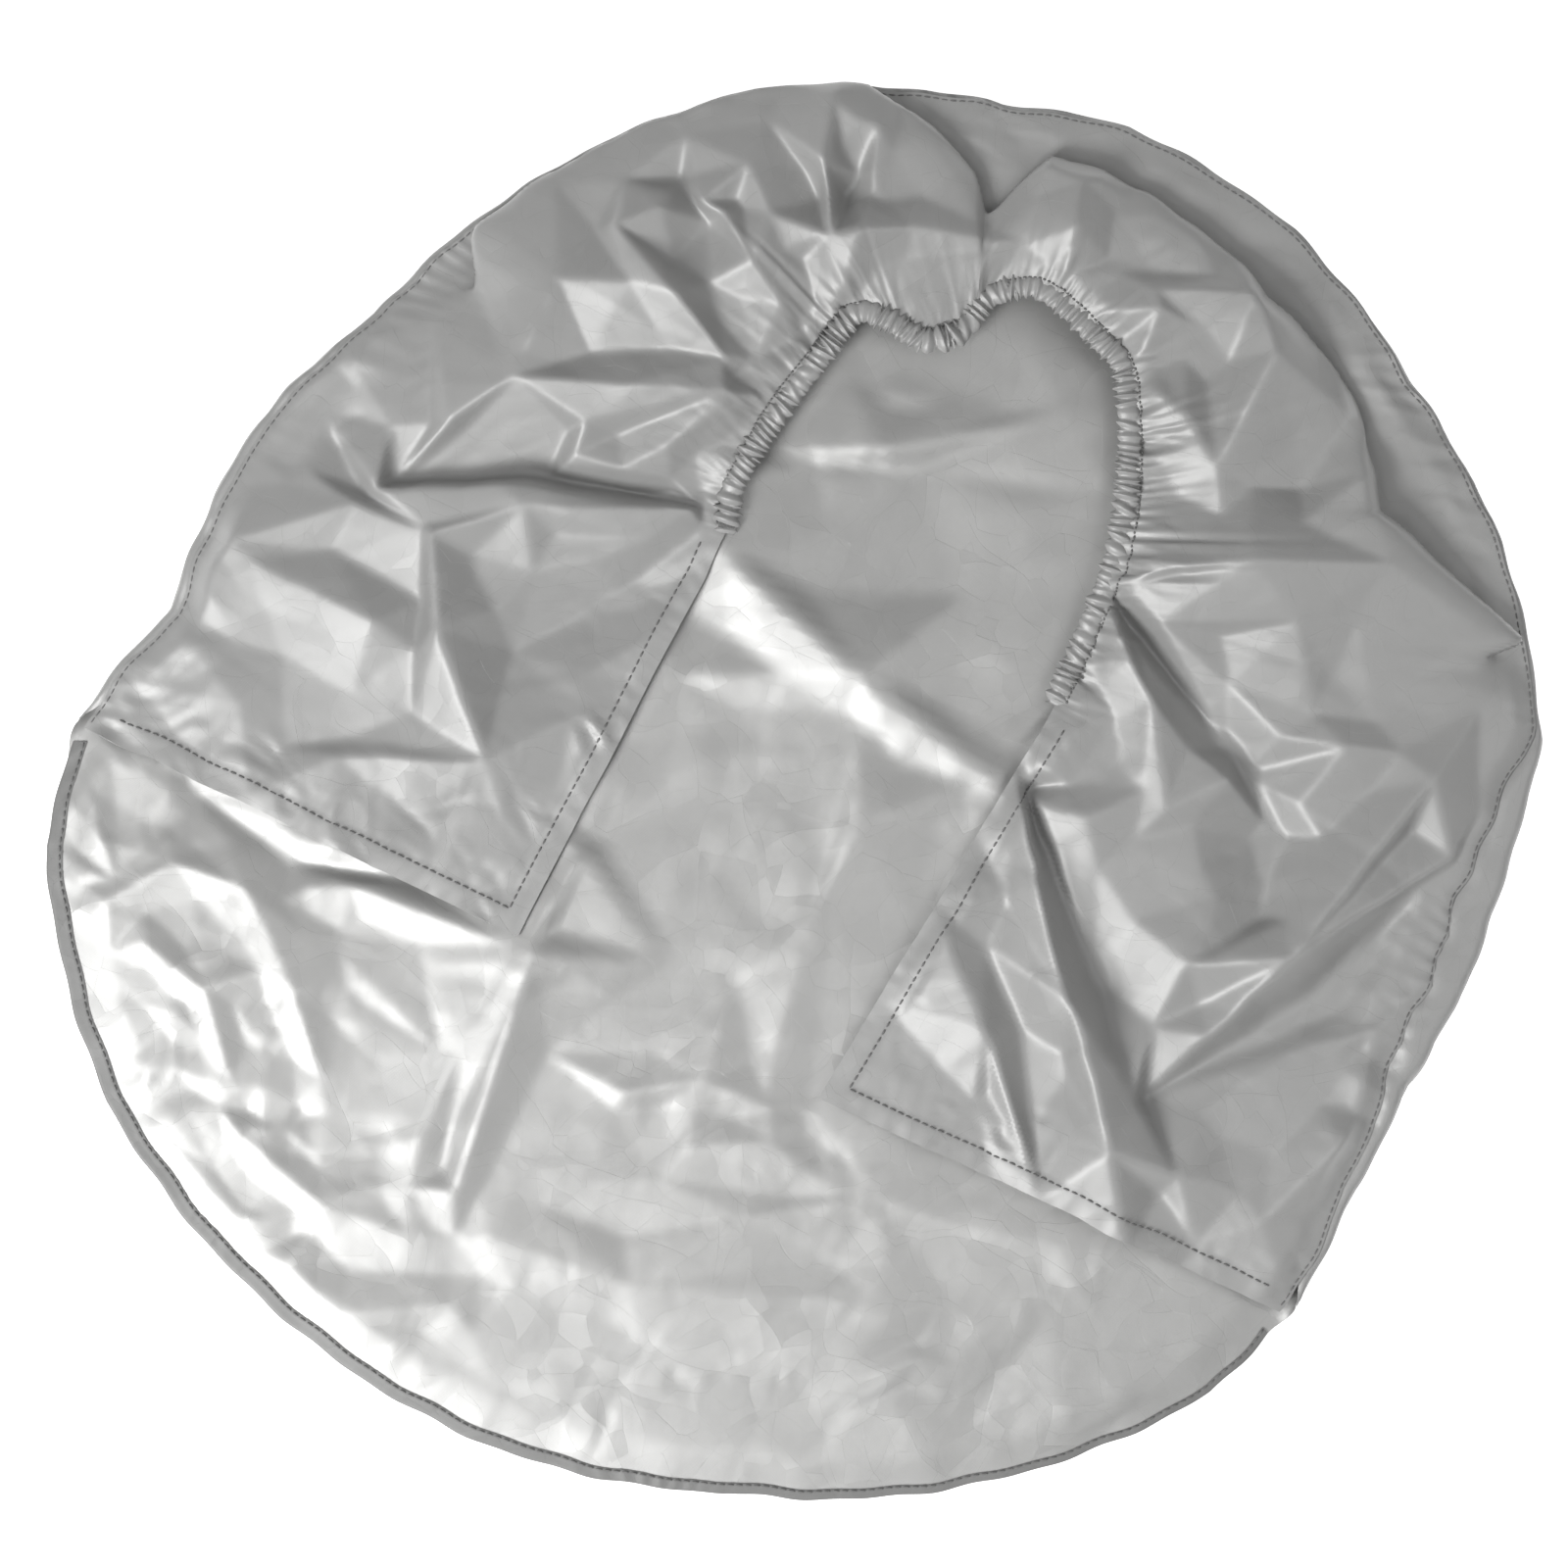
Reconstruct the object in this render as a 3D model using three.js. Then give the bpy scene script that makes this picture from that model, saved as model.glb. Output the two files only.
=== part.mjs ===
// Spare tyre cover, laid open on the ground with its face panel down.
//
// One round face panel lies flat. A single strip of cloth, the band, is sewn round the upper part of its
// rim, folds up and inwards over it, and is gathered by an elastic in a casing, which leaves an arched
// mouth. The band's two ends are hemmed and free below the elastic, so each end is a flap that folds on
// the line from its sewn corner to the elastic's end. Below the flaps the panel's rim is free and hemmed.
//
// Millimetres, +Z up, +Y towards the closed side, origin on the ground at the middle of the outline.

import * as THREE from 'three';
import { mergeVertices } from 'three/addons/utils/BufferGeometryUtils.js';

// ---- Driving dimensions ----

const panelRadius = 372; // face panel as it lies, from its centre to its rim
const cornerDrop = 129; // how far below the centre the two ends of the band are sewn down
const sideTuck = 30; // how far the gathered band draws each side of the panel in
const cloth = 1.2; // one layer of coated cloth
const layerGap = 0.3; // clearance between two layers that touch
const seamAllowance = 10; // width of the cloth turned in at the sewn rim
const rimHemWidth = 10; // hem along the free part of the rim
const threadRadius = 0.4; // sewing thread, in every row of stitches
const stitchInset = 2; // how far a row of stitches lies inside the edge of its hem

const mouthHalfWidth = 94; // middle to each leg of the elastic
const elasticEndRise = 100; // how far above the centre the elastic ends
const mouthLegLength = 65; // straight run of each leg of the elastic
const mouthArchRise = 108; // rise of the arch above the legs
const elasticWidth = 7;
const elasticThickness = 2;
const tunnelClearance = 0.4; // between the elastic and its casing, all round
const casingWall = 1.2;
const gatherGap = 1.3; // between the casing and the band's gathered edge, which may tilt
const tackLength = 8; // bar tack across each end of the elastic
const tackWidth = 3;
const tackInset = 5; // bar tack's middle from the end of the casing

const flapHeight = 12; // middle of the flaps' cloth above the ground
const leftFlapReach = 99; // middle of the cover to the free corner of the left flap
const rightFlapReach = 76; // the same for the right flap
const flapHemWidth = 13;
const hingeGap = 1; // between the band and a flap, along the fold
const foldEndGap = 8; // the flap stops this far short of the elastic's end
const shoulderReach = 12; // how far in from the rim the band has turned from a wall into a roof
const bandLoft = 40; // how much higher than the flaps the band stands at its crown
const halvesGap = 0.6; // between the two halves of the band, at the crown

const apronSetback = 11; // fold line of the free apron below the corners

// ---- Sizes that follow from them ----

const cornerAngle = Math.acos(-cornerDrop / panelRadius); // from +Y round to a sewn corner
const apronFold = cornerDrop + apronSetback;
const apronAngle = Math.acos(-apronFold / panelRadius);
const stackTop = cloth + layerGap + cloth; // panel and one turned layer on it
const bandFoot = stackTop + 0.5; // lowest edge of the band, just above the turned allowance
const casingWidth = elasticWidth + 2 * (tunnelClearance + casingWall);
const casingThickness = elasticThickness + 2 * (tunnelClearance + casingWall);
const flapTop = flapHeight + cloth / 2;
const bandMouthOffset = casingWidth / 2 + gatherGap; // elastic's centre line to the band's gathered edge
const flapLeft = -Math.sin(cornerAngle) * panelRadius;

// ---- Finishes ----

const outerCloth = { color: 0x9d9d9c, roughness: 0.42, metalness: 0.35 };
const innerCoating = { color: 0xc3c3c1, roughness: 0.3, metalness: 0.6 };
const threadFinish = { color: 0x858584, roughness: 0.7, metalness: 0 };
const elasticFinish = { color: 0xe8e6e0, roughness: 0.85, metalness: 0 };

const cover = new THREE.Group();

function addPart(name, geometry, finish) {
  const mesh = new THREE.Mesh(geometry, new THREE.MeshStandardMaterial(finish));
  mesh.name = name;
  cover.add(mesh);
  return mesh;
}

// ---- Shape helpers ----

// Bends a block into a closed solid. place(u, v, w) gives the point for each corner of the block's grid,
// with u, v and w from 0 to 1.
function bentBlock(uSteps, vSteps, place) {
  const block = new THREE.BoxGeometry(1, 1, 1, uSteps, vSteps, 1);
  block.deleteAttribute('normal');
  block.deleteAttribute('uv');
  const solid = mergeVertices(block);
  const position = solid.getAttribute('position');
  for (let i = 0; i < position.count; i += 1) {
    const point = place(position.getX(i) + 0.5, position.getY(i) + 0.5, position.getZ(i) + 0.5);
    position.setXYZ(i, point.x, point.y, point.z);
  }
  return outward(solid);
}

// Turns a closed solid's faces outwards where the bending has reversed them.
function outward(solid) {
  const index = solid.getIndex();
  const position = solid.getAttribute('position');
  const corners = [new THREE.Vector3(), new THREE.Vector3(), new THREE.Vector3()];
  let volume = 0;
  for (let i = 0; i < index.count; i += 3) {
    corners.forEach((corner, k) => corner.fromBufferAttribute(position, index.getX(i + k)));
    volume += corners[0].dot(corners[1].clone().cross(corners[2]));
  }
  if (volume < 0) {
    for (let i = 0; i < index.count; i += 3) {
      const first = index.getX(i);
      index.setX(i, index.getX(i + 1));
      index.setX(i + 1, first);
    }
  }
  return solid;
}

// A flat piece of cloth cut to a closed outline, with its underside at the given height.
function flatPiece(points, underside) {
  const geometry = new THREE.ExtrudeGeometry(new THREE.Shape(points), { depth: cloth, bevelEnabled: false });
  geometry.translate(0, 0, underside);
  return geometry;
}

// A row of stitches, as one thread along a curve.
function threadAlong(curve, steps) {
  const section = new THREE.Shape();
  section.absarc(0, 0, threadRadius, 0, Math.PI * 2);
  return new THREE.ExtrudeGeometry(section, { steps, curveSegments: 3, bevelEnabled: false, extrudePath: curve });
}

// Section of a flat strip, centred on its path.
function rectangle(width, height) {
  const shape = new THREE.Shape();
  shape.moveTo(-width / 2, -height / 2);
  shape.lineTo(width / 2, -height / 2);
  shape.lineTo(width / 2, height / 2);
  shape.lineTo(-width / 2, height / 2);
  shape.closePath();
  return shape;
}

// Where the line through a along d meets the line through b along e, in plan.
function crossing(a, d, b, e) {
  const share = ((b.x - a.x) * e.y - (b.y - a.y) * e.x) / (d.x * e.y - d.y * e.x);
  return a.clone().addScaledVector(d, share);
}

// ---- Outline of the cover, in plan ----

// Rim radius at an angle from +Y: round, but drawn in at the sides by the gathered band.
function rimRadius(angle) {
  const fromTop = Math.abs(angle);
  const sidewards = THREE.MathUtils.smoothstep(fromTop, 0.7, 1.4);
  const beforeCorner = 1 - THREE.MathUtils.smoothstep(fromTop, cornerAngle - 0.3, cornerAngle);
  return panelRadius - sideTuck * sidewards * beforeCorner;
}

function rimPoint(angle, inset) {
  const radius = rimRadius(angle) - inset;
  return new THREE.Vector2(radius * Math.sin(angle), radius * Math.cos(angle));
}

function rimPoints(from, to, steps) {
  const points = [];
  for (let i = 0; i <= steps; i += 1) {
    points.push(rimPoint(from + ((to - from) * i) / steps, 0));
  }
  return points;
}

// A strip of turned cloth that follows the rim on top of the panel.
function rimStrip(from, to, steps, outer, width) {
  return bentBlock(steps, 1, (u, v, w) => {
    const plan = rimPoint(from + (to - from) * u, outer + width * v);
    return new THREE.Vector3(plan.x, plan.y, cloth + layerGap + cloth * w);
  });
}

class RimCurve extends THREE.Curve {
  constructor(from, to, inset, height) {
    super();
    this.from = from;
    this.to = to;
    this.inset = inset;
    this.height = height;
  }

  getPoint(t, target = new THREE.Vector3()) {
    const plan = rimPoint(this.from + (this.to - this.from) * t, this.inset);
    return target.set(plan.x, plan.y, this.height);
  }
}

// ---- Mouth: two straight legs joined by an arch ----

const archLength = (Math.PI * (mouthHalfWidth + mouthArchRise)) / 2;
const mouthLength = 2 * mouthLegLength + archLength;
const legShare = mouthLegLength / mouthLength;

// Point on the mouth from its left end (t = 0) over the arch to its right end (t = 1), moved outwards.
function mouthPoint(t, offset) {
  const halfWidth = mouthHalfWidth + offset;
  const archFoot = elasticEndRise + mouthLegLength;
  if (t < legShare) {
    return new THREE.Vector2(-halfWidth, elasticEndRise + t * mouthLength);
  }
  if (t > 1 - legShare) {
    return new THREE.Vector2(halfWidth, elasticEndRise + (1 - t) * mouthLength);
  }
  const turn = (Math.PI * (t - legShare)) / (1 - 2 * legShare);
  return new THREE.Vector2(-halfWidth * Math.cos(turn), archFoot + (mouthArchRise + offset) * Math.sin(turn));
}

class MouthCurve extends THREE.Curve {
  constructor(offset, height, trim) {
    super();
    this.offset = offset;
    this.height = height;
    this.trim = trim;
  }

  getPoint(t, target = new THREE.Vector3()) {
    const plan = mouthPoint(this.trim + (1 - 2 * this.trim) * t, this.offset);
    return target.set(plan.x, plan.y, this.height);
  }
}

// ---- Face panel: the sewn part stays on the ground, the apron below the flaps lifts ----

addPart('face_panel', flatPiece(rimPoints(-apronAngle, apronAngle, 72), 0), innerCoating);
addPart(
  'seam_allowance',
  rimStrip(-cornerAngle, cornerAngle, 64, layerGap, seamAllowance),
  outerCloth,
);
const seamStitchInset = layerGap + seamAllowance - stitchInset;
const threadRest = stackTop + layerGap + threadRadius;
addPart(
  'seam_stitching',
  threadAlong(new RimCurve(-cornerAngle, cornerAngle, seamStitchInset, threadRest), 60),
  threadFinish,
);

// The apron is the lower segment of the panel, cut along its fold with a small clearance.
const apronCut = Math.acos(-(apronFold + layerGap) / panelRadius);
addPart('apron_panel', flatPiece(rimPoints(apronCut, 2 * Math.PI - apronCut, 56), 0), innerCoating);
const hemInnerRadius = panelRadius - layerGap - rimHemWidth;
const hemStart = Math.acos(-(apronFold + layerGap) / hemInnerRadius);
addPart(
  'apron_hem',
  rimStrip(hemStart, 2 * Math.PI - hemStart, 56, layerGap, rimHemWidth),
  outerCloth,
);
const hemStitchInset = layerGap + rimHemWidth - stitchInset;
addPart(
  'apron_hem_stitching',
  threadAlong(new RimCurve(hemStart, 2 * Math.PI - hemStart, hemStitchInset, threadRest), 52),
  threadFinish,
);

// ---- Band: from the sewn rim up and in to the mouth ----

const shoulderShare = 0.3; // share of the steps across the band that its rounded shoulder takes

// Middle of the band's cloth at u along the band and v from its sewn edge to its gathered edge.
function bandPoint(u, v) {
  const rim = rimPoint(cornerAngle * (2 * u - 1), cloth / 2 + layerGap);
  const mouth = mouthPoint(u, bandMouthOffset);
  const loft = bandLoft * Math.sin(Math.PI * THREE.MathUtils.clamp(u, 0, 1));
  const span = rim.distanceTo(mouth);
  const shoulderTop = flapHeight + 0.75 * loft;
  let reach;
  let height;
  if (v < shoulderShare) {
    const turn = (Math.PI / 2) * (v / shoulderShare);
    reach = shoulderReach * (1 - Math.cos(turn));
    height = bandFoot + (shoulderTop - bandFoot) * Math.sin(turn);
  } else {
    const across = (v - shoulderShare) / (1 - shoulderShare);
    reach = shoulderReach + (span - shoulderReach) * across;
    const roof = 0.75 * Math.cos((Math.PI / 2) * across) + 0.5 * Math.sin(Math.PI * across) * across;
    height = flapHeight + loft * roof;
  }
  const plan = rim.clone().lerp(mouth, reach / span);
  return new THREE.Vector3(plan.x, plan.y, height);
}

function bandHalf(from, to) {
  const step = 0.004;
  return bentBlock(22, 12, (a, v, w) => {
    const u = from + (to - from) * a;
    const along = bandPoint(u + step, v).sub(bandPoint(u - step, v));
    const across = bandPoint(u, Math.min(v + step, 1)).sub(bandPoint(u, Math.max(v - step, 0)));
    const normal = across.cross(along).normalize();
    return bandPoint(u, v).addScaledVector(normal, cloth * (w - 0.5));
  });
}

const crownTrim = halvesGap / 2 / (2 * cornerAngle * panelRadius) + halvesGap / 2 / mouthLength;
addPart('band_left_half', bandHalf(0, 0.5 - crownTrim), outerCloth);
addPart('band_right_half', bandHalf(0.5 + crownTrim, 1), outerCloth);

// ---- Elastic in its casing, with the rows that close it ----

function casingTube() {
  const section = rectangle(casingThickness, casingWidth);
  const tunnel = rectangle(casingThickness - 2 * casingWall, casingWidth - 2 * casingWall);
  section.holes.push(new THREE.Path(tunnel.getPoints()));
  const path = new MouthCurve(0, flapHeight, 0);
  return new THREE.ExtrudeGeometry(section, { steps: 56, bevelEnabled: false, extrudePath: path });
}

addPart('elastic_casing', casingTube(), outerCloth);
addPart(
  'elastic_band',
  new THREE.ExtrudeGeometry(rectangle(elasticThickness, elasticWidth), {
    steps: 56,
    bevelEnabled: false,
    extrudePath: new MouthCurve(0, flapHeight, 0.002),
  }),
  elasticFinish,
);
const casingTop = flapHeight + casingThickness / 2;
const rowHeight = casingTop + layerGap + threadRadius;
addPart(
  'casing_stitching',
  threadAlong(new MouthCurve(casingWidth / 2 - stitchInset, rowHeight, 0.03), 56),
  threadFinish,
);
for (const [name, side] of [['left_bar_tack', -1], ['right_bar_tack', 1]]) {
  const tack = new THREE.BoxGeometry(tackLength, tackWidth, 2 * threadRadius);
  tack.translate(side * mouthHalfWidth, elasticEndRise + tackInset, rowHeight);
  addPart(name, tack, threadFinish);
}

// ---- Flaps: the two free ends of the band ----

// The left flap is drawn first and the right one is its mirror image, with its own reach.
function flapOutline(reach) {
  const corner = new THREE.Vector2(flapLeft, -cornerDrop);
  const elasticEnd = mouthPoint(0, bandMouthOffset);
  const fold = elasticEnd.clone().sub(corner).normalize();
  const inwards = new THREE.Vector2(fold.y, -fold.x);
  const start = corner.clone().addScaledVector(inwards, hingeGap);
  const outer = crossing(start, fold, corner, new THREE.Vector2(1, 0)).addScaledVector(fold, shoulderReach);
  const top = elasticEnd.clone().addScaledVector(inwards, hingeGap).addScaledVector(fold, -foldEndGap);
  const bottom = new THREE.Vector2(outer.x, -cornerDrop);
  return { outer, top, bottom, fold, start, free: new THREE.Vector2(-reach, -cornerDrop) };
}

function mirrored(points, side) {
  const turned = points.map((point) => new THREE.Vector2(-side * point.x, point.y));
  return side > 0 ? turned.reverse() : turned;
}

function addFlap(prefix, side, reach) {
  const { outer, top, bottom, fold, start, free } = flapOutline(reach);
  const panel = [bottom, free, top, outer];
  addPart(`${prefix}_flap_panel`, flatPiece(mirrored(panel, side), flapHeight - cloth / 2), outerCloth);

  // Both hems are turned to the underside; the inner one stops above the end one.
  const hemUnderside = flapHeight - cloth / 2 - layerGap - cloth;
  const level = new THREE.Vector2(1, 0);
  const rise = top.clone().sub(free).normalize();
  const hemTop = new THREE.Vector2(0, flapHemWidth - cornerDrop);
  const endHem = [bottom, free, crossing(free, rise, hemTop, level), crossing(start, fold, hemTop, level)];
  if (endHem[3].y > outer.y) {
    endHem.push(outer);
  }
  addPart(`${prefix}_end_hem`, flatPiece(mirrored(endHem, side), hemUnderside), outerCloth);

  const inside = new THREE.Vector2(-rise.y, rise.x);
  const innerEdge = free.clone().addScaledVector(inside, flapHemWidth);
  const hemFoot = new THREE.Vector2(0, flapHemWidth - cornerDrop + layerGap);
  const innerHem = [
    crossing(innerEdge, rise, hemFoot, level),
    crossing(free, rise, hemFoot, level),
    top,
    crossing(innerEdge, rise, start, fold),
  ];
  addPart(`${prefix}_inner_hem`, flatPiece(mirrored(innerHem, side), hemUnderside), outerCloth);

  // Rows of stitches, seen on the upper side.
  const rowLift = flapTop + layerGap + threadRadius;
  const inset = flapHemWidth - stitchInset;
  const row = (from, to) => {
    const ends = [from, to].map((point) => new THREE.Vector3(-side * point.x, point.y, rowLift));
    return threadAlong(new THREE.LineCurve3(ends[0], ends[1]), 1);
  };
  const rowLine = new THREE.Vector2(0, inset - cornerDrop);
  const endFrom = crossing(start, fold, rowLine, level).add(new THREE.Vector2(2 * shoulderReach, 0));
  const crossed = crossing(innerEdge, rise, rowLine, level);
  addPart(`${prefix}_end_stitching`, row(endFrom, crossed), threadFinish);
  const innerRow = free.clone().addScaledVector(inside, inset);
  const innerFrom = crossing(innerRow, rise, hemFoot, level);
  const innerTo = crossing(innerRow, rise, start, fold).addScaledVector(rise, -2 * foldEndGap);
  addPart(`${prefix}_inner_stitching`, row(innerFrom, innerTo), threadFinish);
}

addFlap('left', -1, leftFlapReach);
addFlap('right', 1, rightFlapReach);

export default cover;
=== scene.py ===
"""Spare tyre cover, laid open with its face panel down: cloth, gathers, hems, stitches and finishes.

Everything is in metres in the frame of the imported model: +Z up, +Y towards the closed side of the cover.
The panel and the band are laid out as grids of points, pressed into facets between their creases, and
gathered at the elastic. The hems, the casing and the stitches follow their surfaces.
"""

from __future__ import annotations

import logging
import math
from dataclasses import dataclass, field
from enum import Enum
from typing import Any

import bmesh
import bpy
import numpy as np
from mathutils import Matrix, Vector, geometry

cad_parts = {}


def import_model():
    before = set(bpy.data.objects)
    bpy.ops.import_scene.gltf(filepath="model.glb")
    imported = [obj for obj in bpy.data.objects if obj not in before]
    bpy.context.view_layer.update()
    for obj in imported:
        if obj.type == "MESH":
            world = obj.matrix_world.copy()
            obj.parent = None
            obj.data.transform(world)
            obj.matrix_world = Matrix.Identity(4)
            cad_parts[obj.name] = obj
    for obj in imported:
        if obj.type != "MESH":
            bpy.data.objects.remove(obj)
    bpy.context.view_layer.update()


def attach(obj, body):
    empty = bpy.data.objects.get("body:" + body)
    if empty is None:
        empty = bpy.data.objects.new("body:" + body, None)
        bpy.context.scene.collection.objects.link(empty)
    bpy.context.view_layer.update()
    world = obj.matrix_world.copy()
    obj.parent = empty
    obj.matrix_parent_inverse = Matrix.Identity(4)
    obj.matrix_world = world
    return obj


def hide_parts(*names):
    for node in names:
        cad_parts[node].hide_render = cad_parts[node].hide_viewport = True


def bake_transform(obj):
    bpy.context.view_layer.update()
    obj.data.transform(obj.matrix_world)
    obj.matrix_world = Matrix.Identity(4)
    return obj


LOG = logging.getLogger("tyre_cover")
Array = np.ndarray
Pair = tuple[float, float]
Triple = tuple[float, float, float]
Objects = list[bpy.types.Object]
Finishes = dict[str, bpy.types.Material]


class Side(Enum):
    """A side of the cover, seen from above with its closed side at the top."""

    LEFT = "left"
    RIGHT = "right"


# ---------------------------------------------------------------- creases


@dataclass(frozen=True)
class Crease:
    """A fold in the cloth along a line of points, steep or gentle on either side.

    Attributes:
        name: What a sewer would call it.
        points: Plan points it runs through.
        height: Rise of its edge; negative for a valley.
        left: Width of the slope on the left of its run.
        right: Width of the slope on the right of its run.
    """

    name: str
    points: tuple[Pair, ...]
    height: float
    left: float
    right: float

    def ridge(self) -> list[tuple[Pair, float]]:
        """Points along its edge with their heights, lower towards its two ends."""
        last = len(self.points) - 1
        shares = [0.7 if i == 0 else 0.45 if i == last else 1.0 for i in range(last + 1)]
        return [(point, share * self.height) for point, share in zip(self.points, shares)]

    def feet(self, spread: float) -> list[Pair]:
        """Points at the foot of its slopes, beside the middle of each straight part.

        Args:
            spread: Factor on the width of the slopes.

        Returns:
            One point on either side of each part.
        """
        found = []
        for a, b in zip(self.points, self.points[1:]):
            length = math.dist(a, b)
            across = ((a[1] - b[1]) / length, (b[0] - a[0]) / length)
            for width in (self.left * spread, -self.right * spread):
                found.append(tuple(0.5 * (a[k] + b[k]) + across[k] * width for k in (0, 1)))
        return found


LEFT_CREASES = (
    Crease("left crown long ridge", ((-0.212, 0.215), (-0.169, 0.197), (-0.133, 0.179)), 0.011, 0.030, 0.014),
    Crease("left crown upper edge", ((-0.212, 0.215), (-0.195, 0.233), (-0.170, 0.238)), 0.007, 0.014, 0.018),
    Crease("left crown pit", ((-0.193, 0.251), (-0.170, 0.238)), -0.008, 0.010, 0.012),
    Crease("ridge to the gathers", ((-0.165, 0.244), (-0.142, 0.228), (-0.119, 0.216)), 0.008, 0.016, 0.022),
    Crease("left crown short ridge", ((-0.179, 0.244), (-0.165, 0.272)), 0.007, 0.022, 0.012),
    Crease("left crown drop", ((-0.165, 0.272), (-0.144, 0.254), (-0.129, 0.241)), 0.006, 0.018, 0.010),
    Crease("crown spine", ((-0.139, 0.319), (-0.131, 0.289), (-0.094, 0.234)), 0.009, 0.014, 0.022),
    Crease("crown box pleat left", ((-0.123, 0.316), (-0.113, 0.293)), 0.006, 0.009, 0.007),
    Crease("crown box pleat right", ((-0.114, 0.318), (-0.107, 0.296)), 0.005, 0.007, 0.009),
    Crease("crown tuck", ((-0.113, 0.293), (-0.114, 0.279), (-0.125, 0.272)), -0.007, 0.008, 0.008),
    Crease("crown shelf", ((-0.113, 0.257), (-0.100, 0.266), (-0.076, 0.280)), 0.009, 0.010, 0.024),
    Crease("left shoulder ridge", ((-0.226, 0.178), (-0.192, 0.192), (-0.134, 0.178)), 0.008, 0.018, 0.026),
    Crease(
        "left middle ridge",
        ((-0.244, 0.089), (-0.223, 0.124), (-0.173, 0.144), (-0.133, 0.178)),
        0.009,
        0.034,
        0.030,
    ),
    Crease("left lower ridge", ((-0.182, 0.119), (-0.125, 0.164), (-0.104, 0.169)), 0.008, 0.014, 0.026),
    Crease("left gather ridge", ((-0.139, 0.127), (-0.124, 0.153), (-0.105, 0.170)), 0.007, 0.010, 0.018),
    Crease("left small ridge", ((-0.180, 0.102), (-0.155, 0.106)), 0.004, 0.018, 0.012),
    Crease(
        "left long valley",
        ((-0.258, 0.048), (-0.187, 0.085), (-0.126, 0.104), (-0.110, 0.107)),
        -0.009,
        0.020,
        0.026,
    ),
    Crease("flap top ridge", ((-0.232, 0.035), (-0.191, 0.067), (-0.115, 0.104)), 0.007, 0.016, 0.034),
    Crease("flap wedge ridge", ((-0.230, 0.035), (-0.204, -0.008), (-0.152, -0.057)), 0.012, 0.016, 0.044),
    Crease("flap wedge valley", ((-0.165, -0.001), (-0.152, -0.057)), -0.006, 0.020, 0.016),
    Crease("flap gather valley", ((-0.165, -0.001), (-0.131, 0.045), (-0.102, 0.094)), -0.007, 0.022, 0.020),
    Crease("flap curl", ((-0.306, -0.018), (-0.234, -0.018), (-0.209, -0.023)), 0.007, 0.016, 0.026),
    Crease("flap low ridge", ((-0.278, -0.086), (-0.253, -0.126)), 0.005, 0.014, 0.018),
    Crease("flap cross ridge", ((-0.223, -0.087), (-0.152, -0.057), (-0.122, -0.018)), 0.005, 0.016, 0.020),
    Crease("side fold", ((-0.318, -0.014), (-0.268, 0.032)), 0.008, 0.014, 0.022),
    Crease("side valley", ((-0.307, 0.066), (-0.267, 0.036)), -0.007, 0.020, 0.014),
    Crease("side ridge", ((-0.263, 0.043), (-0.211, 0.072), (-0.146, 0.092)), 0.006, 0.022, 0.016),
)

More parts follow.
